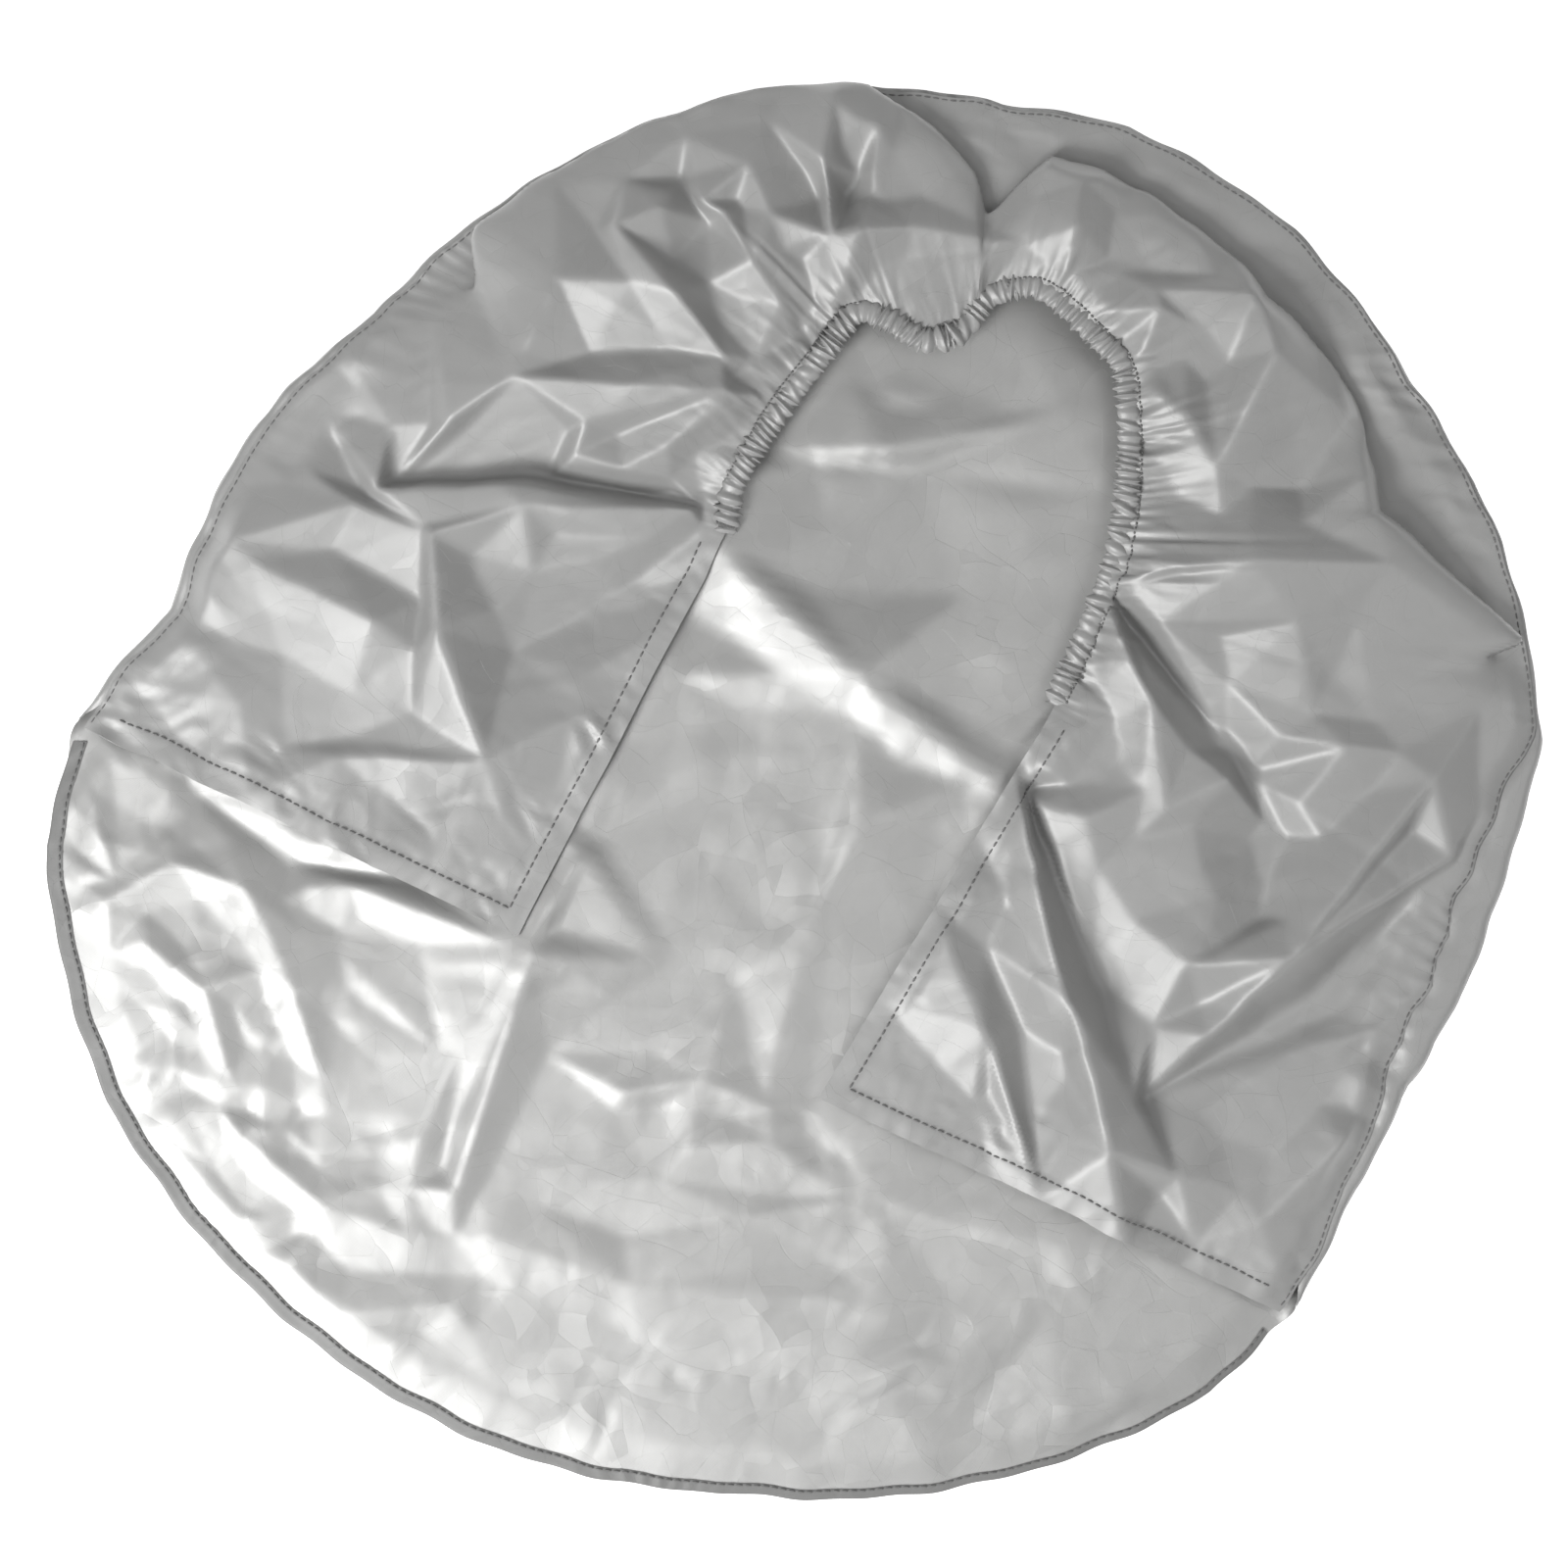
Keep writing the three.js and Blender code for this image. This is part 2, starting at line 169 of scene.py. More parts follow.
RIGHT_CREASES = (
    Crease("peak under the lip", ((-0.009, 0.337), (-0.003, 0.315), (0.004, 0.291)), 0.009, 0.014, 0.016),
    Crease("crown brow", ((0.047, 0.305), (0.094, 0.326)), 0.006, 0.022, 0.014),
    Crease("crown long ridge", ((0.094, 0.326), (0.115, 0.302), (0.114, 0.238)), 0.011, 0.020, 0.034),
    Crease("gather tongue upper", ((0.020, 0.278), (0.054, 0.297), (0.055, 0.266)), 0.006, 0.014, 0.009),
    Crease("gather tongue lower", ((0.058, 0.260), (0.088, 0.255), (0.114, 0.238)), 0.006, 0.016, 0.016),
    Crease("crown tail", ((0.114, 0.238), (0.128, 0.217)), 0.007, 0.012, 0.014),
    Crease("corner ridge", ((0.184, 0.269), (0.165, 0.231)), 0.009, 0.034, 0.012),
    Crease("corner dip", ((0.159, 0.248), (0.165, 0.292)), -0.006, 0.016, 0.014),
    Crease("lip ridge", ((0.049, 0.344), (0.072, 0.324)), 0.005, 0.020, 0.020),
    Crease("right gather ridge", ((0.092, 0.157), (0.118, 0.133), (0.132, 0.111)), 0.008, 0.009, 0.012),
    Crease("right wedge ridge", ((0.092, 0.157), (0.136, 0.119), (0.168, 0.072)), 0.007, 0.012, 0.014),
    Crease(
        "right wedge valley",
        ((0.096, 0.156), (0.184, 0.114), (0.224, 0.085), (0.236, 0.043)),
        -0.011,
        0.022,
        0.026,
    ),
    Crease(
        "right brow",
        ((0.098, 0.164), (0.123, 0.155), (0.185, 0.186), (0.211, 0.203)),
        0.006,
        0.018,
        0.022,
    ),
    Crease(
        "flap spine",
        ((0.083, 0.065), (0.165, -0.037), (0.217, -0.097), (0.248, -0.138)),
        0.013,
        0.016,
        0.042,
    ),
    Crease("flap spine valley", ((0.099, 0.050), (0.174, -0.021), (0.218, -0.065)), -0.007, 0.014, 0.020),
    Crease("flap knee", ((0.107, 0.046), (0.134, 0.049), (0.153, 0.074)), 0.005, 0.010, 0.014),
    Crease("flap bridge", ((0.174, -0.021), (0.212, 0.006), (0.245, 0.048)), 0.006, 0.018, 0.022),
    Crease("flap long ridge", ((0.282, 0.144), (0.256, 0.032), (0.237, -0.022)), 0.011, 0.026, 0.018),
    Crease("flap long valley", ((0.313, 0.112), (0.276, 0.014), (0.221, -0.066)), -0.009, 0.024, 0.020),
    Crease("flap seam ridge", ((0.282, 0.144), (0.310, 0.113)), 0.006, 0.014, 0.012),
    Crease("flap streak upper", ((0.190, 0.100), (0.235, 0.140), (0.262, 0.150)), 0.004, 0.010, 0.016),
    Crease("flap side valley", ((0.150, -0.060), (0.180, -0.110)), -0.004, 0.014, 0.014),
    Crease("flap foot ridge", ((0.218, -0.065), (0.254, -0.093), (0.288, -0.087)), 0.006, 0.018, 0.022),
    Crease("flap outer ridge", ((0.303, -0.094), (0.321, -0.043), (0.326, -0.024)), 0.007, 0.014, 0.016),
    Crease("flap inner ridge", ((0.077, -0.020), (0.135, -0.069), (0.198, -0.134)), 0.008, 0.012, 0.030),
    Crease("flap step", ((0.093, 0.165), (0.150, 0.203), (0.213, 0.232)), 0.013, 0.004, 0.055),
)

FACE_CREASES = (
    Crease("mouth ridge", ((-0.091, 0.093), (0.000, 0.066), (0.081, 0.049)), 0.021, 0.009, 0.060),
    Crease("mouth ridge end", ((0.081, 0.049), (0.116, 0.033)), 0.007, 0.014, 0.030),
    Crease("apron spine", ((-0.086, -0.077), (-0.089, -0.134), (-0.071, -0.261)), 0.016, 0.046, 0.020),
    Crease("apron left brow", ((-0.187, -0.143), (-0.102, -0.135), (-0.087, -0.121)), 0.009, 0.024, 0.012),
    Crease("bright crumple top", ((-0.015, -0.178), (0.018, -0.154), (0.056, -0.152)), 0.007, 0.012, 0.020),
    Crease("bright crumple foot", ((0.025, -0.189), (0.064, -0.167), (0.095, -0.174)), 0.006, 0.010, 0.016),
    Crease("apron mid fold", ((0.011, 0.043), (0.039, -0.049), (0.050, -0.149)), 0.005, 0.030, 0.024),
    Crease("apron brow", ((0.030, -0.064), (0.033, -0.002), (0.074, 0.040)), 0.009, 0.016, 0.034),
    Crease("mouth cross crease", ((-0.094, 0.145), (-0.023, 0.171), (0.078, 0.204)), -0.0030, 0.006, 0.006),
    Crease("mouth upper crease", ((-0.071, 0.201), (-0.023, 0.205), (0.011, 0.215)), 0.0024, 0.006, 0.006),
    Crease("mouth crown slope", ((-0.1, 0.134), (-0.041, 0.173), (0.035, 0.233)), 0.011, 0.062, 0.030),
    Crease("mouth left crease", ((-0.085, 0.024), (-0.036, 0.048), (0.004, 0.046)), 0.007, 0.014, 0.026),
    Crease("left crumple a", ((-0.295, -0.206), (-0.273, -0.173), (-0.235, -0.171)), 0.008, 0.016, 0.022),
    Crease("left crumple b", ((-0.269, -0.216), (-0.231, -0.225), (-0.208, -0.203)), 0.007, 0.014, 0.018),
    Crease("left crumple c", ((-0.236, -0.169), (-0.190, -0.205), (-0.157, -0.239)), 0.008, 0.018, 0.016),
    Crease("left crumple d", ((-0.233, -0.220), (-0.195, -0.263)), 0.006, 0.012, 0.016),
    Crease("lower crumple a", ((-0.187, -0.281), (-0.129, -0.297), (-0.082, -0.291)), 0.006, 0.016, 0.020),
    Crease("lower crumple b", ((-0.133, -0.333), (-0.096, -0.343), (-0.048, -0.314)), 0.007, 0.014, 0.022),
    Crease("lower crumple c", ((-0.223, -0.299), (-0.167, -0.322)), 0.005, 0.016, 0.012),
    Crease("lower fold", ((-0.046, -0.274), (0.028, -0.265), (0.149, -0.217)), 0.005, 0.030, 0.026),
    Crease("lower right fold", ((0.128, -0.173), (0.217, -0.151), (0.276, -0.134)), 0.005, 0.024, 0.030),
    Crease("apron right fold", ((0.067, -0.208), (0.125, -0.168), (0.213, -0.164)), 0.005, 0.026, 0.020),
    Crease("far left fold", ((-0.331, -0.157), (-0.295, -0.195)), 0.006, 0.014, 0.020),
    Crease("hem shadow fold", ((-0.279, -0.137), (-0.219, -0.147), (-0.160, -0.129)), -0.009, 0.022, 0.030),
    Crease("centre fold", ((-0.113, -0.067), (-0.097, -0.043), (-0.092, -0.018)), 0.006, 0.020, 0.020),
    Crease("lower centre fold", ((-0.101, -0.195), (-0.099, -0.244), (-0.093, -0.269)), 0.005, 0.018, 0.022),
)


def nearness(point: Pair, a: Pair, b: Pair) -> tuple[float, float]:
    """Distance from a point to a straight part, and the share along it of its nearest place.

    Args:
        point: The point, in plan.
        a: First end of the straight part.
        b: Its last end.

    Returns:
        The distance and the share.
    """
    run = (b[0] - a[0], b[1] - a[1])
    along = ((point[0] - a[0]) * run[0] + (point[1] - a[1]) * run[1]) / (run[0] ** 2 + run[1] ** 2)
    along = min(1.0, max(0.0, along))
    return math.hypot(point[0] - a[0] - along * run[0], point[1] - a[1] - along * run[1]), along


class Folds:
    """Cloth pressed into flat facets between its creases, as a height over the plan.

    REACH is half of the side of its map, and CELL the map's step. FOOT_ROOM and CREASE_ROOM keep the corners
    apart and off the creases, and FOOT_STIR is the feet's share of the corners' heights. TRIES is how many
    corners are tried. The two ROUNDS say how far the map is rounded off for folded and for bent cloth.
    """

    REACH = 0.44
    CELL = 0.001
    FOOT_ROOM = 0.006
    FOOT_STIR = 0.25
    CREASE_ROOM = 0.02
    TRIES = 2500
    SHARP_ROUNDS = 2
    SOFT_ROUNDS = 110

    def __init__(
        self,
        creases: tuple[Crease, ...],
        seed: int,
        press: float,
        spread: float,
        gap: float,
        stir: float,
        patches: tuple[tuple[float, float, float, float, float], ...],
        bend: float,
    ) -> None:
        """Sets the corners of the facets and fills in the heights between them.

        Args:
            creases: Creases that the facets lie between.
            seed: Picks the scattered corners.
            press: Factor on the creases' heights.
            spread: Factor on the width of their slopes.
            gap: Least distance of a scattered corner from the others.
            stir: Greatest height of a scattered corner.
            patches: Finely crumpled places: middle x and y, radius, gap and greatest height.
            bend: Share of each facet's edge that is bent gently instead of folded.
        """
        self.parts = [
            (a, b, low * press, high * press)
            for crease in creases
            for (a, low), (b, high) in zip(crease.ridge(), crease.ridge()[1:])
        ]
        corners: dict[Pair, float] = {}
        edges = []
        for crease in creases:
            for point, height in crease.ridge():
                if abs(height * press) > abs(corners.get(point, 0.0)):
                    corners[point] = height * press
            edges += list(zip(crease.points, crease.points[1:]))
        rng = np.random.default_rng(seed)
        feet = [foot for crease in creases for foot in crease.feet(spread)]
        wanted = [(foot, self.FOOT_ROOM, self.FOOT_STIR) for foot in feet]
        for x, y, radius, near, height in patches:
            tries = rng.uniform(-radius, radius, (round(3 * (radius / near) ** 2), 2))
            inside = [(x + float(p[0]), y + float(p[1])) for p in tries if math.hypot(*p) < radius]
            wanted += [(point, near, height / stir) for point in inside]
        tries = rng.uniform(-self.REACH, self.REACH, (self.TRIES, 2))
        wanted += [((float(p[0]), float(p[1])), gap, 1.0) for p in tries]
        for point, room, share in wanted:
            if any(math.dist(point, other) < room for other in corners):
                continue
            if any(nearness(point, a, b)[0] < min(room, self.CREASE_ROOM) for a, b, *_ in self.parts):
                continue
            corners[point] = float(rng.uniform(-1, 1)) * stir * share
        wide = 2 * self.REACH
        corners.update({(i * wide, j * wide): 0.0 for i in (-1.0, 1.0) for j in (-1.0, 1.0)})
        places = list(corners)
        number = {place: i for i, place in enumerate(places)}
        links = [(number[a], number[b]) for a, b in edges]
        found = geometry.delaunay_2d_cdt([Vector(p) for p in places], links, [], 0, 1e-5, True)
        heights = [
            corners[places[origin[0]]] if origin else self.crossing((vertex.x, vertex.y))
            for vertex, origin in zip(found[0], found[3])
        ]
        chart = self.fill(np.array([tuple(v) for v in found[0]]), np.array(heights), found[2])
        sharp = calm(chart, self.SHARP_ROUNDS)
        self.map = (1 - bend) * sharp + bend * calm(sharp, self.SOFT_ROUNDS)

    def crossing(self, point: Pair) -> float:
        """Height where two creases cross, between the heights of their ends."""
        near = [(nearness(point, a, b), low, high) for a, b, low, high in self.parts]
        (_, along), low, high = min(near, key=lambda item: item[0][0])
        return low + (high - low) * along

    def fill(self, places: Array, heights: Array, facets: list[list[int]]) -> Array:
        """Fills a map of heights with flat facets.

        Args:
            places: Corners of the facets, in plan.
            heights: Height at each corner.
            facets: Corners of each facet.

        Returns:
            The map of heights.
        """
        count = round(2 * self.REACH / self.CELL) + 1
        axis = np.linspace(-self.REACH, self.REACH, count)
        chart = np.zeros((count, count))
        for facet in facets:
            a, b, c = places[facet[0]], places[facet[1]], places[facet[2]]
            low = np.searchsorted(axis, np.minimum(np.minimum(a, b), c)) - 1
            high = np.searchsorted(axis, np.maximum(np.maximum(a, b), c)) + 1
            i, j = slice(max(low[0], 0), max(high[0], 0)), slice(max(low[1], 0), max(high[1], 0))
            x, y = np.meshgrid(axis[i], axis[j], indexing="ij")
            area = (b[0] - a[0]) * (c[1] - a[1]) - (b[1] - a[1]) * (c[0] - a[0])
            if x.size == 0 or abs(area) < 1e-12:
                continue
            u = ((x - a[0]) * (c[1] - a[1]) - (y - a[1]) * (c[0] - a[0])) / area
            v = ((b[0] - a[0]) * (y - a[1]) - (b[1] - a[1]) * (x - a[0])) / area
            inside = (u >= -1e-6) & (v >= -1e-6) & (u + v <= 1 + 1e-6)
            level = heights[facet[0]] * (1 - u - v) + heights[facet[1]] * u + heights[facet[2]] * v
            part = chart[i, j]
            part[inside] = level[inside]
        return chart

    def rise(self, x: Array, y: Array) -> Array:
        """Height of the pressed cloth at plan points.

        Args:
            x: Plan x of the points.
            y: Plan y of the points.

        Returns:
            The height at each point.
        """
        last = self.map.shape[0] - 2
        s = np.clip((x + self.REACH) / self.CELL, 0, last + 0.999)
        t = np.clip((y + self.REACH) / self.CELL, 0, last + 0.999)
        i, j = s.astype(int), t.astype(int)
        f, g = s - i, t - j
        low = self.map[i, j] * (1 - f) + self.map[i + 1, j] * f
        high = self.map[i, j + 1] * (1 - f) + self.map[i + 1, j + 1] * f
        return low * (1 - g) + high * g


@dataclass(frozen=True)
class Crumple:
    """Flat facets between straight folds, from a jittered pattern of triangles.

    Attributes:
        seed: Picks the heights of the corners.
        size: Typical side of a facet.
        height: Rise of the highest corners.
        calm: Share of the cloth that the folds leave flat.
    """

    seed: int
    size: float
    height: float
    calm: float = 0.3

    def corners(self, x: Array, y: Array, layer: int) -> Array:
        """Heights from -1 to 1 over a pattern of triangles, flat between their corners.

        Args:
            x: First measure of each point.
            y: Second measure of each point.
            layer: Which of the patterns is wanted.

        Returns:
            The heights.
        """
        rng = np.random.default_rng((self.seed, layer))
        turn = rng.uniform(0, math.pi)
        table = rng.uniform(-1, 1, (97, 97))
        along = x * math.cos(turn) + y * math.sin(turn)
        across = y * math.cos(turn) - x * math.sin(turn)
        s = (along + across / math.sqrt(3)) / self.size + 0.31
        t = across * 2 / math.sqrt(3) / self.size + 0.17
        i, j = np.floor(s).astype(int), np.floor(t).astype(int)
        a, b = s - i, t - j
        h00, h10 = table[i % 97, j % 97], table[(i + 1) % 97, j % 97]
        h01, h11 = table[i % 97, (j + 1) % 97], table[(i + 1) % 97, (j + 1) % 97]
        low = h00 + a * (h10 - h00) + b * (h01 - h00)
        high = h11 + (1 - a) * (h01 - h11) + (1 - b) * (h10 - h11)
        return np.where(a + b < 1, low, high)

    def rise(self, x: Array, y: Array) -> Array:
        """Height that the crumpling adds at points of the cloth.

        Args:
            x: First coordinate of the points.
            y: Second coordinate of the points.

        Returns:
            The rise at each point.
        """
        wide_x = x + 0.75 * self.size * self.corners(x * 0.45, y * 0.45, 1)
        wide_y = y + 0.75 * self.size * self.corners(x * 0.45, y * 0.45, 2)
        first = self.corners(wide_x, wide_y, 3)
        second = self.corners(wide_x * 0.62, wide_y * 0.62, 4)
        stir = ease(self.corners(x * 0.3, y * 0.3, 5), 2 * self.calm - 1, 2 * self.calm - 0.2)
        ridge = 0.75 - np.abs(first - second)
        return self.height * (0.6 * first + 0.8 * ridge) * (0.25 + 0.75 * stir)


@dataclass(frozen=True)
class Pucker:
    """Small wrinkles that a row of stitches draws up beside it."""

    seed: int
    pitch: float
    reach: float
    height: float
    groove: float

    def rise(self, along: Array, away: Array) -> Array:
        """Height of the wrinkles.

        Args:
            along: Distance along the stitches.
            away: Distance from the stitches' edge.

        Returns:
            The rise at each point.
        """
        rng = np.random.default_rng(self.seed)
        shift = rng.uniform(0, 6, 3)
        place = along / self.pitch + 0.9 * np.sin(along / self.pitch * 0.43 + shift[0])
        lean = 0.5 * np.sin(along / self.pitch * 0.29 + shift[2]) * away / self.pitch
        wave = 0.7 - 1.4 * np.abs(np.sin(math.pi * (place + lean)))
        swell = np.sin(along / self.pitch * 0.37 + shift[1]) * np.sin(along / self.pitch * 0.13 + 1)
        strength = 0.12 + 1.1 * np.maximum(swell, 0)
        sunk = self.groove * np.exp(-np.maximum(away, 0) / (0.15 * self.reach))
        return self.height * wave * strength * np.exp(-np.maximum(away, 0) / self.reach) - sunk


CLOTH_THICKNESS = 0.0004
PEAK_HEIGHT = 0.044
PEAK_ROOM = 0.009
UP = (0.0, 0.0, 1.0)
SEAM_PUCKER = Pucker(3, 0.0125, 0.018, 0.0006, 0.0005)
HEM_STEP = 0.0007
HEM_PUCKER = Pucker(4, 0.0105, 0.018, 0.0006, 0.0)
BAND_CRUMPLES = (Crumple(12, 0.042, 0.0016, 0.5),)
PLAN_CRUMPLES = (Crumple(14, 0.016, 0.0007, 0.6),)
RIM_CRUMPLE = Crumple(22, 0.030, 0.0022, 0.4)
EDGE_CRUMPLE = Crumple(23, 0.012, 0.0021, 0.4)
TREAD_CRUMPLE = Crumple(15, 0.048, 0.0058)
TREAD_STREAKS = Crumple(24, 0.020, 0.0020, 0.4)
FACE_PATCHES = (
    (-0.250, -0.205, 0.095, 0.009, 0.0014),
    (-0.130, -0.300, 0.090, 0.010, 0.0011),
    (-0.200, -0.270, 0.060, 0.008, 0.0013),
    (0.040, -0.172, 0.050, 0.010, 0.0014),
    (-0.310, -0.150, 0.040, 0.010, 0.0014),
    (0.000, -0.290, 0.060, 0.013, 0.0009),
    (-0.030, 0.030, 0.060, 0.014, 0.0008),
)
BAND_PATCHES = (
    (-0.140, 0.200, 0.050, 0.013, 0.0036),
    (-0.110, 0.270, 0.040, 0.012, 0.0034),
    (0.060, 0.285, 0.045, 0.013, 0.0030),
    (0.125, 0.140, 0.035, 0.012, 0.0026),
    (-0.130, 0.110, 0.035, 0.012, 0.0024),
    (-0.130, -0.090, 0.040, 0.014, 0.0020),
)
GATHER_CRUMPLES = ((Crumple(31, 0.0085, 0.0024, 0.2), 0.014), (Crumple(32, 0.019, 0.0040, 0.25), 0.032))
FLAP_SWAY = (Crumple(19, 0.040, 0.0020), Crumple(20, 0.040, 0.0020))
FACE_CRUMPLES = (Crumple(17, 0.026, 0.0012, 0.5), Crumple(18, 0.011, 0.0004, 0.5))


# ---------------------------------------------------------------- outline and mouth


@dataclass(frozen=True)
class Outline:
    """Plan outline of the cover as it lies, by bearing from +X, anticlockwise."""

    bearings: tuple[float, ...] = (
        0, 20, 30, 45, 60, 75, 90, 100, 120, 140, 158, 172,
        190, 200, 210, 230, 250, 270, 290, 310, 330, 340, 350,
    )
    radii: tuple[float, ...] = (
        0.341, 0.359, 0.375, 0.376, 0.372, 0.379, 0.376, 0.364, 0.358, 0.340, 0.327, 0.336,
        0.336, 0.370, 0.388, 0.389, 0.378, 0.370, 0.359, 0.363, 0.369, 0.360, 0.345,
    )

    def radius(self, bearing: Array) -> Array:
        """Distance from the middle to the outline.

        Args:
            bearing: Degrees from +X, anticlockwise.

        Returns:
            Radius in metres at each bearing.
        """
        known = np.array(self.bearings, float)
        radii = np.array(self.radii, float)
        turned = np.mod(bearing, 360.0)
        smooth = np.interp(turned, np.append(known, 360.0), np.append(radii, radii[0]))
        return smooth + 0.0009 * np.sin(np.radians(turned * 52)) * np.sin(np.radians(turned * 13 + 60))

    def point(self, bearing: Array, inset: Array | float = 0.0) -> Array:
        """Plan points on the outline, or inside it by an inset."""
        radius = self.radius(bearing) - inset
        turn = np.radians(bearing)
        return np.stack([radius * np.cos(turn), radius * np.sin(turn)], -1)


def smooth_line(points: Array, samples: int) -> Array:
    """A smooth line through given points, at equal steps along its length.

    Args:
        points: Points it passes through, one per row.
        samples: Number of points wanted.

    Returns:
        The points along the line.
    """
    padded = np.vstack([2 * points[0] - points[1], points, 2 * points[-1] - points[-2]])
    steps = np.linspace(0, 1, 24, endpoint=False)[:, None]
    parts = []
    for a, b, c, d in zip(padded, padded[1:], padded[2:], padded[3:]):
        curve = (2 * a - 5 * b + 4 * c - d) * steps**2 + (3 * b - a - 3 * c + d) * steps**3
        parts.append(0.5 * (2 * b + (c - a) * steps + curve))
    dense = np.vstack([*parts, points[-1][None]])
    along = np.concatenate([[0], np.cumsum(np.linalg.norm(np.diff(dense, axis=0), axis=1))])
    wanted = np.linspace(0, along[-1], samples)
    return np.stack([np.interp(wanted, along, dense[:, k]) for k in range(dense.shape[1])], -1)


def ease(value: Array, low: float, high: float) -> Array:
    """Smooth step from 0 at low to 1 at high."""
    t = np.clip((value - low) / (high - low), 0.0, 1.0)
    return t * t * (3 - 2 * t)


MOUTH_POINTS = np.array(
    [
        (-0.094, 0.100, 0.013),
        (-0.101, 0.125, 0.016),
        (-0.098, 0.160, 0.018),
        (-0.090, 0.200, 0.020),
        (-0.084, 0.228, 0.019),
        (-0.068, 0.233, 0.021),
        (-0.045, 0.232, 0.022),
        (-0.031, 0.246, 0.020),
        (-0.027, 0.265, 0.018),
        (-0.005, 0.281, 0.020),
        (0.033, 0.271, 0.021),
        (0.053, 0.260, 0.021),
        (0.075, 0.219, 0.020),
        (0.089, 0.175, 0.018),
        (0.093, 0.130, 0.015),
        (0.094, 0.095, 0.013),
    ]
)
LEFT_FREE_CORNER = (-0.099, -0.130, 0.011)
RIGHT_FREE_CORNER = (0.074, -0.137, 0.011)


def grid_normals(grid: Array) -> Array:
    """Unit normals of a grid of points, on the upper side of the cloth."""
    normal = np.cross(np.gradient(grid, axis=0), np.gradient(grid, axis=1))
    normal /= np.linalg.norm(normal, axis=-1, keepdims=True) + 1e-12
    return normal if normal[..., 2].mean() > 0 else -normal


def calm(height: Array, rounds: int) -> Array:
    """Rounds off the sharpest folds of a height over a grid.

    Args:
        height: Height at each point of the grid.
        rounds: How often each height is drawn to its neighbours.

    Returns:
        The smoother height.
    """
    for _ in range(rounds):
        padded = np.pad(height, 1, mode="edge")
        near = padded[2:, 1:-1] + padded[:-2, 1:-1] + padded[1:-1, 2:] + padded[1:-1, :-2]
        height = 0.5 * height + 0.125 * near
    return height


@dataclass(frozen=True)
class Trail:
    """A line on a sheet of cloth, with the cloth's upward direction at each point."""

    points: Array
    ups: Array

    def spaced(self, pitch: float) -> "Trail":
        """The same line at equal steps.

        Args:
            pitch: Wanted distance between two points.

        Returns:
            The line with its points that far apart.
        """
        along = np.concatenate([[0], np.cumsum(np.linalg.norm(np.diff(self.points, axis=0), axis=1))])
        count = max(2, round(along[-1] / pitch))
        wanted = np.linspace(0, along[-1], count + 1)
        at = [np.interp(wanted, along, self.points[:, k]) for k in range(3)]
        up = [np.interp(wanted, along, self.ups[:, k]) for k in range(3)]
        return Trail(np.stack(at, -1), np.stack(up, -1))


@dataclass(frozen=True)
class Surface:
    """A finished sheet of cloth that sewn pieces follow, as a grid over its flat shape."""

    grid: Array
    normals: Array

    def at(self, a: Array, b: Array, lift: Array | float = 0.0) -> Array:
        """Points on the sheet.

        Args:
            a: Share along its first direction, 0 to 1.
            b: Share along its second direction, 0 to 1.
            lift: Height above its upper side.

        Returns:
            The points.
        """
        point, up = self._pick(self.grid, a, b), self._pick(self.normals, a, b)
        return point + up * np.broadcast_to(lift, np.shape(a))[..., None]

    def trail(self, a: Array, b: Array, lift: float = 0.0) -> Trail:
        """A line on the sheet through shares of its two directions."""
        return Trail(self.at(a, b, lift), self._pick(self.normals, a, b))

    def _pick(self, values: Array, a: Array, b: Array) -> Array:
        """Interpolates values of the grid between its points.

        Args:
            values: Value at each point of the grid.
            a: Share along the grid.
            b: Share across the grid.

        Returns:
            The values there.
        """
        s = np.clip(a, 0, 1) * (values.shape[0] - 1)
        t = np.clip(b, 0, 1) * (values.shape[1] - 1)
        i = np.minimum(s.astype(int), values.shape[0] - 2)
        j = np.minimum(t.astype(int), values.shape[1] - 2)
        f, g = (s - i)[..., None], (t - j)[..., None]
        low = values[i, j] * (1 - f) + values[i + 1, j] * f
        high = values[i, j + 1] * (1 - f) + values[i + 1, j + 1] * f
        return low * (1 - g) + high * g


# ---------------------------------------------------------------- meshes


def added(name: str, data: Any) -> bpy.types.Object:
    """Makes an object from a mesh, camera or lamp, and adds it to the scene."""
    made = bpy.data.objects.new(name, data)
    bpy.context.scene.collection.objects.link(made)
    return made


def sheet_object(name: str, grid: Array, pattern: Array) -> bpy.types.Object:
    """Makes a mesh from a grid of points.

    Args:
        name: Name of the piece.
        grid: Points, with the two directions of the cloth first.
        pattern: Flat position of each point on the cloth, for its weave.

    Returns:
        The new object, with its upper side outwards.
    """
    nu, nv = grid.shape[0] - 1, grid.shape[1] - 1
    form = bmesh.new()
    bmesh.ops.create_grid(form, x_segments=nu, y_segments=nv, size=0.5)
    places = [(round((v.co.x + 0.5) * nu), round((v.co.y + 0.5) * nv)) for v in form.verts]
    weave = form.loops.layers.uv.new("Weave")
    for vertex, (i, j) in zip(form.verts, places):
        vertex.co = grid[i, j]
    for face in form.faces:
        face.smooth = True
        for loop in face.loops:
            i, j = places[loop.vert.index]
            loop[weave].uv = pattern[i, j]
    for edge in form.edges:
        edge.smooth = not edge.is_boundary
    form.normal_update()
    if sum(face.normal.z for face in form.faces) < 0:
        bmesh.ops.reverse_faces(form, faces=form.faces[:])
    mesh = bpy.data.meshes.new(name)
    form.to_mesh(mesh)
    form.free()
    return added(name, mesh)


def dress(piece: bpy.types.Object, finishes: Finishes, *slots: str) -> None:
    """Gives a piece its finishes, the first on its upper or only side.

    Args:
        piece: The piece to dress.
        finishes: The materials by slot.
        slots: Slots of the upper side and of the underside.
    """
    for slot in slots:
        piece.data.materials.append(finishes[slot])


